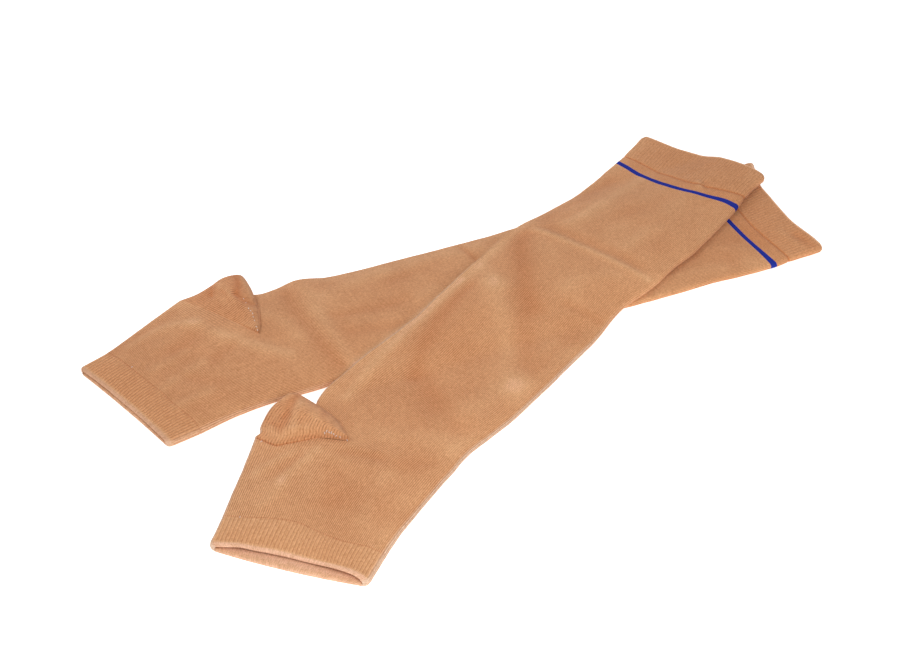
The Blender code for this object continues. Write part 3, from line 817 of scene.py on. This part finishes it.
def lay_cloth(bm, columns, rows, spot_at):
    """Add a grid of cloth, with the spot at each column and row given by a function."""
    knit = bm.loops.layers.uv["knit"]
    relief = bm.verts.layers.float["relief"]
    rim = bm.verts.layers.float["rim"]
    across, along = len(columns) - 1, len(rows) - 1
    spots = [[spot_at(row, column) for column in columns] for row in rows]
    made = bmesh.ops.create_grid(
        bm, x_segments=across, y_segments=along, size=1.0, calc_uvs=True
    )["verts"]
    for vertex in made:
        row = round((vertex.co.y + 1.0) / 2.0 * along)
        column = round((vertex.co.x + 1.0) / 2.0 * across)
        spot = spots[row][column]
        vertex.co = spot.point
        vertex[relief] = spot.relief
        vertex[rim] = spot.rim
    for face in {face for vertex in made for face in vertex.link_faces}:
        face.smooth = True
        for loop in face.loops:
            at = loop[knit].uv
            spot = spots[round(at.y * along)][round(at.x * across)]
            loop[knit].uv = (spot.wale, spot.course)


def make_object(bm, name, material):
    """Object of one material, from a finished bmesh."""
    mesh = bpy.data.meshes.new(name)
    bm.to_mesh(mesh)
    bm.free()
    mesh.materials.append(material)
    piece = bpy.data.objects.new(name, mesh)
    bpy.context.scene.collection.objects.link(piece)
    return piece


def finish_cloth(bm, name, material, wall=0.0):
    """Join the grid's edges, give it its wall, keep it on the floor and make it an object."""
    bmesh.ops.remove_doubles(bm, verts=bm.verts, dist=MERGE_DISTANCE * MM)
    bmesh.ops.recalc_face_normals(bm, faces=bm.faces)
    if wall:
        bmesh.ops.solidify(bm, geom=list(bm.faces), thickness=wall * MM)
    for vertex in bm.verts:
        vertex.co.z = max(0.0, vertex.co.z)
    for edge in bm.edges:
        if edge.calc_face_angle(0.0) > math.radians(SHARP_ANGLE):
            edge.smooth = False
    return make_object(bm, name, material)


def pinch(sleeve, station):
    """How deep the cloth is drawn in near the seam under the welt."""
    return SEAM_DEPTH * smooth_step(1.0 - abs(station - sleeve.welt) / SEAM_REACH)


def plain_ring():
    """Columns once round a tube of plain knit, finer on its upper layer."""
    return ring(LEFT_STEPS, RIGHT_STEPS, FOLD_STEPS, UNDER_LEFT_STEPS, UNDER_RIGHT_STEPS)


def plain_tube(sleeve, part, stretches, step, material):
    """Tube of plain knit over one or more stretches of sections."""
    columns = plain_ring()

    def spot_at(section, column):
        """Spot of the tube's outer side, drawn in where the seam is near, with painted shade there.
        """
        depth = pinch(sleeve, section.station)
        spot = tube_spot(sleeve, section, column, depth)
        return spot._replace(relief=spot.relief - SEAM_SHADE * depth)

    bm = new_cloth()
    for sections, start, end in stretches:
        rows = [section_at(sections, at) for at in stations_between(start, end, step)]
        lay_cloth(bm, columns, rows, spot_at)
    return finish_cloth(bm, sleeve.name + part, material, BODY_WALL)


def rib_ring():
    """Columns once round a ribbed band, the same number to each rib."""
    each = RIB_STEPS / WALES_A_RIB
    left = round(UPPER_WALES * GUSSET_ACROSS * each)
    right = round(UPPER_WALES * each) - left
    return ring(left, right, round(FOLD_WALES * each), left, right)


def band_profile(mouth, seam, band):
    """Rows of a double band from its seam, round its lip and back inside.

    Each row is its station, how far in it lies, how deep its ribs are and how far it counts as lip,
    which takes the lip's painted highlight, a little way inside the mouth as well.
    """
    toward = 1.0 if mouth > seam else -1.0
    radius = band.wall / 2.0
    reach = abs(mouth - seam)
    depth = band.seam_depth
    profile = [(seam, depth, 0.0, 0.0), (seam + toward * SEAM_EDGE, 0.55 * depth, 0.0, 0.0)]
    for distance in stations_between(SHOULDER, reach - band.plain, BAND_STEP):
        fade = smooth_step((distance - SHOULDER) / SHOULDER_FADE)
        inset = SHOULDER_SHARE * depth * (1.0 - fade)
        groove = band.rib * smooth_step(distance / RIB_START)
        profile.append((seam + toward * distance, inset, groove, 0.0))

    # One row where the ribs run out, the round of the lip, and the inner side
    profile.append((mouth - toward * (band.plain - 0.5), 0.05, 0.35 * band.rib, 0.3))
    for step in range(LIP_STEPS + 1):
        angle = math.pi * step / LIP_STEPS
        out = mouth - toward * radius * (1.0 - math.sin(angle))
        lip = 1.0 if angle < LIP_SMOOTH_TO else 0.8
        profile.append((out, radius * (1.0 - math.cos(angle)) - LIP_PROUD, 0.0, lip))
    for distance in stations_between(band.plain, reach, INNER_STEP):
        smooth = 1.0 - 0.8 * smooth_step((distance - band.plain) / INNER_FADE)
        profile.append((mouth - toward * distance, band.wall, INNER_RIB * band.rib, smooth))
    profile.append(profile[0])
    return profile


def rounded_corner(section, mouth, radius):
    """Section line drawn in at both ends where the mouth's corners are round."""
    distance = abs(section.station - mouth)
    if distance >= radius:
        return section
    share = (radius - math.sqrt(radius**2 - (radius - distance) ** 2)) * SHARE_OF_MM
    left = (section.left_u, section.left_v)
    right = (section.right_u, section.right_v)
    left, right = point_between(left, right, share), point_between(right, left, share)
    return section._replace(left_u=left[0], left_v=left[1], right_u=right[0], right_v=right[1])


def ribbed_band(sleeve, part, sections, mouth, seam, band, material):
    """Band of double ribbed knit as one closed skin, with a rounded lip at its mouth.

    The mouth of the hem gapes. That of the welt lies closed.
    """
    columns = rib_ring()
    gapes = mouth < seam

    def spot_at(row, column):
        """Spot of the band's skin, inside or outside, moved where the mouth gapes."""
        station, inset, groove, lip = row
        near_mouth = max(0.0, 1.0 - abs(station - mouth) / abs(mouth - seam))
        section = rounded_corner(section_at(sections, station), mouth, band.corner)
        ahead = raised = back = 0.0
        if gapes:
            near_lip = near_mouth**2
            ahead = sleeve.lip * near_mouth
            back = sleeve.mouth_back * near_lip
            if column.layer == "upper":
                across = layer_across(section, column.place)
                raised = straight_through(sleeve.mouth, across) * near_lip
                raised = (raised - sleeve.mouth_drop * hump(across)) * near_lip
            elif column.layer == "lower":
                raised = sleeve.swell * near_lip * min(1.0, inset / band.wall)
        if inset > 0.5 * band.wall:
            groove = -groove
        spot = tube_spot(sleeve, section, column, inset, groove, ahead, raised, back)
        # Painted highlight on the lip and a little way inside the mouth
        relief = spot.relief * (1.0 - lip) + LIP_HIGHLIGHT * lip
        # Painted shade in the sunken seam
        if abs(station - seam) < 1.0:
            relief -= SEAM_SHADE * min(band.seam_depth, inset)
        return spot._replace(relief=relief)

    bm = new_cloth()
    lay_cloth(bm, columns, band_profile(mouth, seam, band), spot_at)
    return finish_cloth(bm, sleeve.name + part, material)


# ---- Heel pocket ----


def pocket_rim(sleeve, ray):
    """Point on the pocket's outline, from its front at ray 0 to its back at ray 1."""
    outline = sleeve.pocket
    rows = [(index / (len(outline) - 1.0), u, v) for index, (u, v) in enumerate(outline)]
    return curve_through(rows, ray)[1:]


def pocket_plan(sleeve, ray, share, shift):
    """Plan point of the pocket on the line from the gusset to its outline, shifted sideways."""
    tip_u, tip_v = sleeve.gusset
    rim_u, rim_v = pocket_rim(sleeve, ray)
    length = math.hypot(rim_u - tip_u, rim_v - tip_v)
    side_u, side_v = (rim_v - tip_v) / length, (tip_u - rim_u) / length
    u, v = point_between((tip_u, tip_v), (rim_u, rim_v), share)
    return u + shift * side_u, v + shift * side_v


def pocket_spot(sleeve, row, column):
    """Spot of the pocket's skin on a ray, or on the rolled edge in front of or behind it."""
    ray, roll = row
    section = sleeve.leg[0]
    swell = math.sin(math.pi * ray)
    edge = section.edge + POCKET_EDGE_SWELL * sleeve.puff * swell
    course = (sleeve.foot[-1].station + sleeve.arc * ray) / COURSE
    rim = 0.0
    if column.layer == "left":
        angle = math.radians(column.place)
        across = section.edge * (1.0 - math.cos(angle)) * SHARE_OF_MM
        lifted = max(0.0, math.sin(angle))
        height = edge + edge * math.sin(angle)
        fade = 0.0
        rim = fold_rim_highlight(sleeve, section.station, angle)
    else:
        across = layer_across(section, column.place)
        lifted = 1.0
        height = 2.0 * edge
        fade = smooth_step(2.0 * hump(across))
    share = 1.0 - across / GUSSET_ACROSS
    wale = column.wale + POCKET_SLANT * share * max(0.0, ray - SLANT_START)
    if column.layer == "lower":
        u, v = pocket_plan(sleeve, ray, share, 0.0)
        return Spot(placed(sleeve, u, v, 0.0), wale, course, 0.0, rim)

    # The laps reach over the tube in front of the first ray and behind the last one
    front = ray < 0.5
    lap = straight_through(sleeve.front_lap if front else sleeve.back_lap, share)
    raised = smooth_step(lap / LAP_RISE)
    nearness = max(0.0, 1.0 - (ray if front else 1.0 - ray) / LAP_REACH)
    shift = (-lap if front else lap) * smooth_step(nearness)
    u, v = pocket_plan(sleeve, ray, share, shift)

    # The pocket's own creases die away at its seams, but not on a lap
    own = smooth_step(4.0 * swell + 2.0 * raised)
    relief = crease_height(sleeve.creases, u, v)
    relief += crease_height(sleeve.pocket_creases, u, v) * own
    height += section.rise * crown(across) * lifted
    height += (relief + WAVER_HEIGHT * knit_waver(u, v, 1.0)) * fade * lifted
    height += LAP_HEIGHT * raised * smooth_step(1.2 * nearness) * lifted
    height += sleeve.puff * swell * math.sin(math.pi * share) * lifted
    if roll:
        radius = ROLL_RADIUS * raised * lifted
        turn = math.radians(roll)
        sideways = radius * math.sin(turn) * (-1.0 if front else 1.0)
        u, v = pocket_plan(sleeve, ray, share, shift + sideways)
        height -= radius * (1.0 - math.cos(turn))
        relief -= ROLL_SHADE * raised * (1.0 - math.cos(turn))
    return Spot(placed(sleeve, u, v, height), wale, course, relief, rim)


def heel_pocket(sleeve, material):
    """Turned pocket that fills the wedge, with rolled edges where it laps over the tube."""
    around = plain_ring()[:-1]
    fold = [column for column in around if column.layer == "left"]
    upper, lower = (
        [column for column in around if column.layer == layer and column.place <= 1.0 + 1e-9]
        for layer in ("upper", "lower")
    )
    columns = upper[::-1] + fold[::-1] + lower[::-1]
    rolls = [ROLL_ANGLE * step / ROLL_STEPS for step in range(1, ROLL_STEPS + 1)]
    laps_in_front = max(lap for _, lap in sleeve.front_lap) > 0.0
    rows = [(0.0, roll) for roll in reversed(rolls)] if laps_in_front else []
    rows += [(index / POCKET_RAYS, 0.0) for index in range(POCKET_RAYS + 1)]
    rows += [(1.0, roll) for roll in rolls]
    bm = new_cloth()
    lay_cloth(bm, columns, rows, lambda row, column: pocket_spot(sleeve, row, column))
    return finish_cloth(bm, sleeve.name + "_heel_knit", material, LAP_WALL)


# ---- Materials ----


def add_node(tree, kind, inputs=None, **settings):
    """Add a node, set its fields and fill its sockets with values or with other sockets."""
    node = tree.nodes.new(kind)
    for setting, value in settings.items():
        setattr(node, setting, value)
    for socket, value in (inputs or {}).items():
        if isinstance(value, bpy.types.NodeSocket):
            tree.links.new(value, node.inputs[socket])
        else:
            node.inputs[socket].default_value = value
    return node


def reckon(tree, operation, first, second=None, third=None):
    """Socket that holds the result of one sum."""
    given = {i: value for i, value in enumerate((first, second, third)) if value is not None}
    return add_node(tree, "ShaderNodeMath", given, operation=operation).outputs[0]


def blended(tree, share, first, second, kind="MIX"):
    """Socket of a colour that goes from the first to the second."""
    node = add_node(tree, "ShaderNodeMix", data_type="RGBA", blend_type=kind, clamp_factor=True)
    for name, value in (("Factor_Float", share), ("A_Color", first), ("B_Color", second)):
        socket = next(each for each in node.inputs if each.identifier == name)
        if isinstance(value, bpy.types.NodeSocket):
            tree.links.new(value, socket)
        elif name == "Factor_Float":
            socket.default_value = value
        else:
            socket.default_value = (*value, 1.0)
    return next(each for each in node.outputs if each.identifier == "Result_Color")


def speckle(tree, place, waves, low, high, detail=2.0):
    """Socket of a soft noise that wanders between two values."""
    soft = add_node(
        tree, "ShaderNodeTexNoise", {"Vector": place, "Scale": waves, "Detail": detail}
    ).outputs["Fac"]
    return reckon(tree, "MULTIPLY_ADD", soft, high - low, low)


def new_material(name, roughness, shine):
    """Material with its main shader."""
    material = bpy.data.materials.new(name)
    material.use_nodes = True
    shader = material.node_tree.nodes["Principled BSDF"]
    shader.inputs["Roughness"].default_value = roughness
    shader.inputs["Specular IOR Level"].default_value = shine
    return material, shader


def knit_map(tree):
    """Sockets of the wale and the course."""
    knit = add_node(tree, "ShaderNodeUVMap", uv_map="knit").outputs["UV"]
    parts = add_node(tree, "ShaderNodeSeparateXYZ", {0: knit})
    return parts.outputs["X"], parts.outputs["Y"]


def point_value(tree, name):
    """Socket of a value that the mesh keeps at each of its points."""
    return add_node(tree, "ShaderNodeAttribute", attribute_name=name).outputs["Fac"]


def raise_surface(tree, shader, height, strength, depth):
    """Let a height stand out on the surface, as deep as given in millimetres."""
    bump = add_node(
        tree, "ShaderNodeBump", {"Strength": strength, "Distance": depth * MM, "Height": height}
    )
    tree.links.new(bump.outputs["Normal"], shader.inputs["Normal"])


def stitches(tree, wale, course):
    """Height of plain knit, and how dark the gaps between its wales are.

    Each wale is two legs of yarn that slant up and out from its middle.
    """
    within = reckon(tree, "FRACT", wale)
    side = reckon(tree, "ABSOLUTE", reckon(tree, "SUBTRACT", within, 0.5))
    leg = reckon(tree, "MULTIPLY", side, 2.0)
    off_crest = reckon(tree, "MULTIPLY", reckon(tree, "SUBTRACT", leg, LEG_CREST), 2.0)
    leg_height = reckon(tree, "SUBTRACT", 1.0, reckon(tree, "POWER", off_crest, 2.0))
    leg_height = reckon(tree, "MAXIMUM", leg_height, 0.0)
    slant = reckon(tree, "MULTIPLY_ADD", leg, LEG_SLANT, course)
    strand = reckon(tree, "SUBTRACT", reckon(tree, "FRACT", slant), 0.5)
    strand = reckon(tree, "POWER", reckon(tree, "MULTIPLY", strand, 2.0), 2.0)
    strand = reckon(tree, "SUBTRACT", 1.0, strand)
    rounded = reckon(tree, "MULTIPLY_ADD", strand, STRAND_ROUND, 1.0 - STRAND_ROUND)
    height = reckon(tree, "MULTIPLY", leg_height, rounded)
    gap = reckon(tree, "MULTIPLY_ADD", strand, -GAP_BROKEN, 1.0)
    gap = reckon(tree, "MULTIPLY", reckon(tree, "POWER", leg, GAP_NARROW), gap)
    return height, gap


def knit_material(
    name, gap_share, coarse=1.0, uneven=0.4, rib_share=0.0, redder=0.0, lip=WELT_LIP_HIGHLIGHT_TAN
):
    """Matt heathered knit, with painted shade that makes its hollows deeper and redder and painted
    highlight where it stands proud.

    gap_share is how dark the gaps between the wales are, coarse how large the stitches are beside
    those of the body, uneven how much the gaps vary, and rib_share how dark the grooves between
    ribs are. lip is the colour of the painted highlight on the lips of the bands.
    """
    material, shader = new_material(name, roughness=0.92, shine=0.15)
    shader.inputs["Sheen Weight"].default_value = 0.11
    shader.inputs["Sheen Roughness"].default_value = 0.6
    tree = material.node_tree
    around, along = knit_map(tree)
    place = add_node(tree, "ShaderNodeTexCoord").outputs["Object"]
    relief = point_value(tree, "relief")
    wander = speckle(tree, place, WANDER_WAVES, low=0.0, high=0.16)
    wale = reckon(tree, "ADD", wander, around)
    wale = reckon(tree, "MULTIPLY", wale, 1.0 / coarse)
    course = reckon(tree, "MULTIPLY", along, 1.0 / coarse)
    height, gap = stitches(tree, wale, course)

    # Broad tone: painted shade in hollows and painted highlight where the cloth stands proud, and
    # the way the dye took
    cloud = speckle(tree, place, CLOUD_WAVES, -CLOUD_TONE - redder, CLOUD_TONE - redder, 3.0)
    tone = reckon(tree, "MULTIPLY_ADD", relief, RELIEF_SHADING_TONE, LEVEL_TONE)
    tone = reckon(tree, "ADD", tone, cloud)
    color = blended(tree, tone, DEEP_TAN, LIGHT_TAN)
    # Painted highlight on the lips of the bands and a little way inside their mouths
    color = blended(tree, reckon(tree, "SUBTRACT", relief, LIP_HIGHLIGHT - 1.0), color, lip)
    # Pale painted highlight on the rims of the folds
    nap = reckon(tree, "MULTIPLY", point_value(tree, "rim"), RIM_HIGHLIGHT_STRENGTH)
    color = blended(tree, nap, color, RIM_HIGHLIGHT_TAN)

    # Every stitch is a little lighter or darker than its neighbours, and so is every fibre
    legs = reckon(tree, "FLOOR", reckon(tree, "MULTIPLY", wale, 2.0))
    rows = reckon(tree, "FLOOR", course)
    stitch = add_node(tree, "ShaderNodeCombineXYZ", {"X": legs, "Y": rows}).outputs[0]
    odd = add_node(tree, "ShaderNodeTexWhiteNoise", {"Vector": stitch}).outputs["Value"]
    grain = speckle(tree, place, GRAIN_WAVES, low=-0.225, high=0.775)
    grain = reckon(tree, "MULTIPLY_ADD", odd, 0.45, grain)
    tint = blended(tree, grain, DARK_STITCH, LIGHT_STITCH)
    color = blended(tree, 1.0, color, tint, "MULTIPLY")

    # Gaps between the wales, which show most where the cloth is stretched
    patch = speckle(tree, place, STRETCH_WAVES, low=0.64, high=1.44)
    patch = reckon(tree, "SUBTRACT", patch, reckon(tree, "MULTIPLY", tone, 0.5))
    patch = reckon(tree, "MULTIPLY_ADD", along, -GAP_FADE, patch)
    gap = reckon(tree, "MULTIPLY", gap, reckon(tree, "MULTIPLY", patch, gap_share))
    blotch = speckle(tree, place, BLOTCH_WAVES, low=-2.0, high=2.0)
    blotch = reckon(tree, "ADD", odd, blotch)
    blotch = reckon(tree, "MULTIPLY_ADD", blotch, uneven, 1.0 - 0.5 * uneven)
    gap = reckon(tree, "MULTIPLY", gap, reckon(tree, "MAXIMUM", blotch, 0.0))
    color = blended(tree, gap, color, GAP_BROWN)

    # Grooves between the ribs of a band, which end at its smooth lip
    if rib_share:
        turn = reckon(tree, "MULTIPLY", around, 2.0 * math.pi / WALES_A_RIB)
        groove = reckon(tree, "MULTIPLY_ADD", reckon(tree, "COSINE", turn), -0.5, 0.5)
        groove = reckon(tree, "MULTIPLY", reckon(tree, "POWER", groove, 2.0), rib_share)
        smooth = reckon(tree, "MINIMUM", reckon(tree, "SUBTRACT", 1.6, relief), 1.0)
        color = blended(tree, reckon(tree, "MULTIPLY", groove, smooth), color, GAP_BROWN)
    fuzz = speckle(tree, place, FUZZ_WAVES, low=0.0, high=0.35)
    raise_surface(tree, shader, reckon(tree, "ADD", fuzz, height), strength=0.5, depth=0.3)
    tree.links.new(color, shader.inputs["Base Color"])
    return material


def yarn_material(name, color, darker):
    """Flat dyed yarn with its stitches, darker in its gaps and where the dye took more."""
    material, shader = new_material(name, roughness=0.85, shine=0.15)
    tree = material.node_tree
    height, gap = stitches(tree, *knit_map(tree))
    place = add_node(tree, "ShaderNodeTexCoord").outputs["Object"]
    dye = speckle(tree, place, DYE_WAVES, low=0.0, high=0.4)
    share = reckon(tree, "MULTIPLY_ADD", gap, 0.3, dye)
    tree.links.new(blended(tree, share, color, darker), shader.inputs["Base Color"])
    raise_surface(tree, shader, height, strength=0.4, depth=0.25)
    return material


def thread_material(name, color):
    """Soft loose yarn of one colour."""
    material, shader = new_material(name, roughness=0.8, shine=0.2)
    shader.inputs["Base Color"].default_value = (*color, 1.0)
    return material


# ---- Loose threads ----


def add_arch(bm, place, turn, length, height):
    """Add one little arch of yarn that stands on the cloth."""
    circle = bmesh.ops.create_circle(
        bm, segments=YARN_SIDES, radius=YARN_THICKNESS * MM / 2.0
    )["verts"]
    bmesh.ops.translate(bm, verts=circle, vec=(length / 2.0, 0.0, 0.0))
    outline = {edge for vertex in circle for edge in vertex.link_edges}
    before = set(bm.verts) - set(circle)
    bmesh.ops.spin(
        bm, geom=circle + list(outline), cent=(0.0, 0.0, 0.0), axis=(0.0, -1.0, 0.0),
        angle=math.pi, steps=ARCH_STEPS,
    )
    arch = [vertex for vertex in bm.verts if vertex not in before]
    bmesh.ops.scale(bm, verts=arch, vec=(1.0, 1.0, 2.0 * height / length))
    bmesh.ops.rotate(bm, verts=arch, matrix=Matrix.Rotation(turn, 3, "Z"))
    bmesh.ops.translate(bm, verts=arch, vec=place)


def cloth_top(pieces, x, y):
    """Top of the cloth over a place on the floor."""
    tops = []
    for piece in pieces:
        met, point = piece.ray_cast(Vector((x, y, 1.0)), Vector((0.0, 0.0, -1.0)))[:2]
        if met:
            tops.append(point.z)
    return max(tops)


def add_threads(sleeve, loops, pieces, material):
    """Loose loops of yarn along the heel seams of a sleeve, as one mesh."""
    bm = bmesh.new()
    for loop in loops:
        x, y = (value * MM for value in to_world(sleeve, loop.u, loop.v))
        place = (x, y, cloth_top(pieces, x, y) - YARN_SUNK * MM)
        add_arch(bm, place, math.radians(loop.turn), loop.length * MM, loop.height * MM)
    bmesh.ops.recalc_face_normals(bm, faces=bm.faces)
    threads = make_object(bm, sleeve.name + "_heel_threads", material)
    threads.data.shade_smooth()
    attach(threads, "root")


# ---- Scene ----


def add_camera():
    """Camera where the photograph was taken from."""
    data = bpy.data.cameras.new("camera")
    data.sensor_width = SENSOR
    data.lens = FOCAL_PIXELS / IMAGE_WIDTH * SENSOR
    camera = bpy.data.objects.new("camera", data)
    camera.location = Vector(STAND_AT) * MM
    toward = Vector(LOOK_AT) - Vector(STAND_AT)
    camera.rotation_euler = toward.to_track_quat("-Z", "Y").to_euler()
    bpy.context.scene.collection.objects.link(camera)
    bpy.context.scene.camera = camera


def add_soft_light(name, place, width, watts):
    """Large soft lamp that faces the middle of the sleeves."""
    data = bpy.data.lights.new(name, "AREA")
    data.shape = "DISK"
    data.size = width
    data.energy = watts
    lamp = bpy.data.objects.new(name, data)
    lamp.location = place
    lamp.rotation_euler = (-Vector(place)).to_track_quat("-Z", "Y").to_euler()
    bpy.context.scene.collection.objects.link(lamp)


def add_studio():
    """Pale floor, even white surround and soft lamps."""
    bm = bmesh.new()
    bmesh.ops.create_grid(bm, x_segments=1, y_segments=1, size=FLOOR_REACH)
    bmesh.ops.translate(bm, verts=bm.verts, vec=(0.0, 0.0, -FLOOR_DROP * MM))
    paper, shader = new_material("white_paper", roughness=1.0, shine=0.0)
    shader.inputs["Base Color"].default_value = (PAPER_TONE, PAPER_TONE, PAPER_TONE, 1.0)
    shader.inputs["Emission Color"].default_value = (1.0, 1.0, 1.0, 1.0)
    shader.inputs["Emission Strength"].default_value = PAPER_GLOW
    make_object(bm, "floor", paper)
    world = bpy.data.worlds.new("white_surround")
    world.use_nodes = True
    surround = world.node_tree.nodes["Background"]
    surround.inputs["Color"].default_value = (1.0, 1.0, 1.0, 1.0)
    surround.inputs["Strength"].default_value = SURROUND_GLOW
    bpy.context.scene.world = world
    bpy.context.scene.view_settings.view_transform = "Standard"
    for lamp in LAMPS:
        add_soft_light(*lamp)


def settle(piece, node):
    """Fix a piece to the body, in place of its solid, which it hides."""
    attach(piece, "root")
    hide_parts(node)


def add_sleeve(sleeve, plain, heel_knit, strip_knit, hem_knit, welt_knit, blue):
    """Build the six cloth pieces of one sleeve, and return those that carry loose yarn."""
    name = sleeve.name
    foot_end, leg_start = sleeve.foot[-1].station, sleeve.leg[0].station
    stripe_start = sleeve.stripe - STRIPE_WIDTH / 2.0
    stripe_end = sleeve.stripe + STRIPE_WIDTH / 2.0
    top = sleeve.leg[-1].station
    foot_and_leg = ((sleeve.foot, HEM_BAND, foot_end), (sleeve.leg, leg_start, stripe_start))
    under_stripe = ((sleeve.leg, stripe_start, stripe_end),)
    under_welt = ((sleeve.leg, stripe_end, sleeve.welt),)
    body = plain_tube(sleeve, "_body_knit", foot_and_leg, ROW_STEP, plain)
    settle(body, name + "_body_tube")
    stripe = plain_tube(sleeve, "_stripe_knit", under_stripe, STRIPE_STEP, blue)
    settle(stripe, name + "_size_stripe")
    strip = plain_tube(sleeve, "_strip_knit", under_welt, STRIP_STEP, strip_knit)
    settle(strip, name + "_top_strip")
    hem = ribbed_band(sleeve, "_hem_knit", sleeve.foot, 0.0, HEM_BAND, HEM, hem_knit)
    settle(hem, name + "_hem_band")
    welt = ribbed_band(sleeve, "_welt_knit", sleeve.leg, top, sleeve.welt, WELT, welt_knit)
    settle(welt, name + "_top_welt")
    pocket = heel_pocket(sleeve, heel_knit)
    settle(pocket, name + "_heel_pocket")
    return [body, pocket, hem]


def main():
    """Set the camera and lights, build both sleeves, and hand them to the frame."""
    add_camera()
    add_studio()
    plain = knit_material("tan_plain_knit", 1.75)
    strip_knit = knit_material("tan_strip_knit", 1.0, redder=0.22)
    near_hem = knit_material(
        "tan_near_hem_knit", 0.8, rib_share=0.3, redder=-0.12, lip=NEAR_HEM_LIP_HIGHLIGHT_TAN
    )
    far_hem = knit_material(
        "tan_far_hem_knit", 0.8, rib_share=0.36, redder=0.02, lip=FAR_HEM_LIP_HIGHLIGHT_TAN
    )
    welt_knit = knit_material("tan_welt_knit", 0.8, rib_share=0.17, redder=0.12)
    far_heel = knit_material("tan_far_heel_knit", 1.4, uneven=0.8, redder=0.2)
    near_heel = knit_material("tan_near_heel_knit", 1.2, coarse=1.2, uneven=1.0, redder=0.15)
    blue = yarn_material("blue_stripe_yarn", STRIPE_BLUE, STRIPE_DARK_BLUE)
    white = thread_material("white_heel_thread", THREAD_WHITE)
    for sleeve, heel_knit, hem_knit, loops in (
        (FAR, far_heel, far_hem, FAR_LOOPS), (NEAR, near_heel, near_hem, NEAR_LOOPS)
    ):
        pieces = add_sleeve(sleeve, plain, heel_knit, strip_knit, hem_knit, welt_knit, blue)
        bpy.context.view_layer.update()
        add_threads(sleeve, loops, pieces, white)


main()
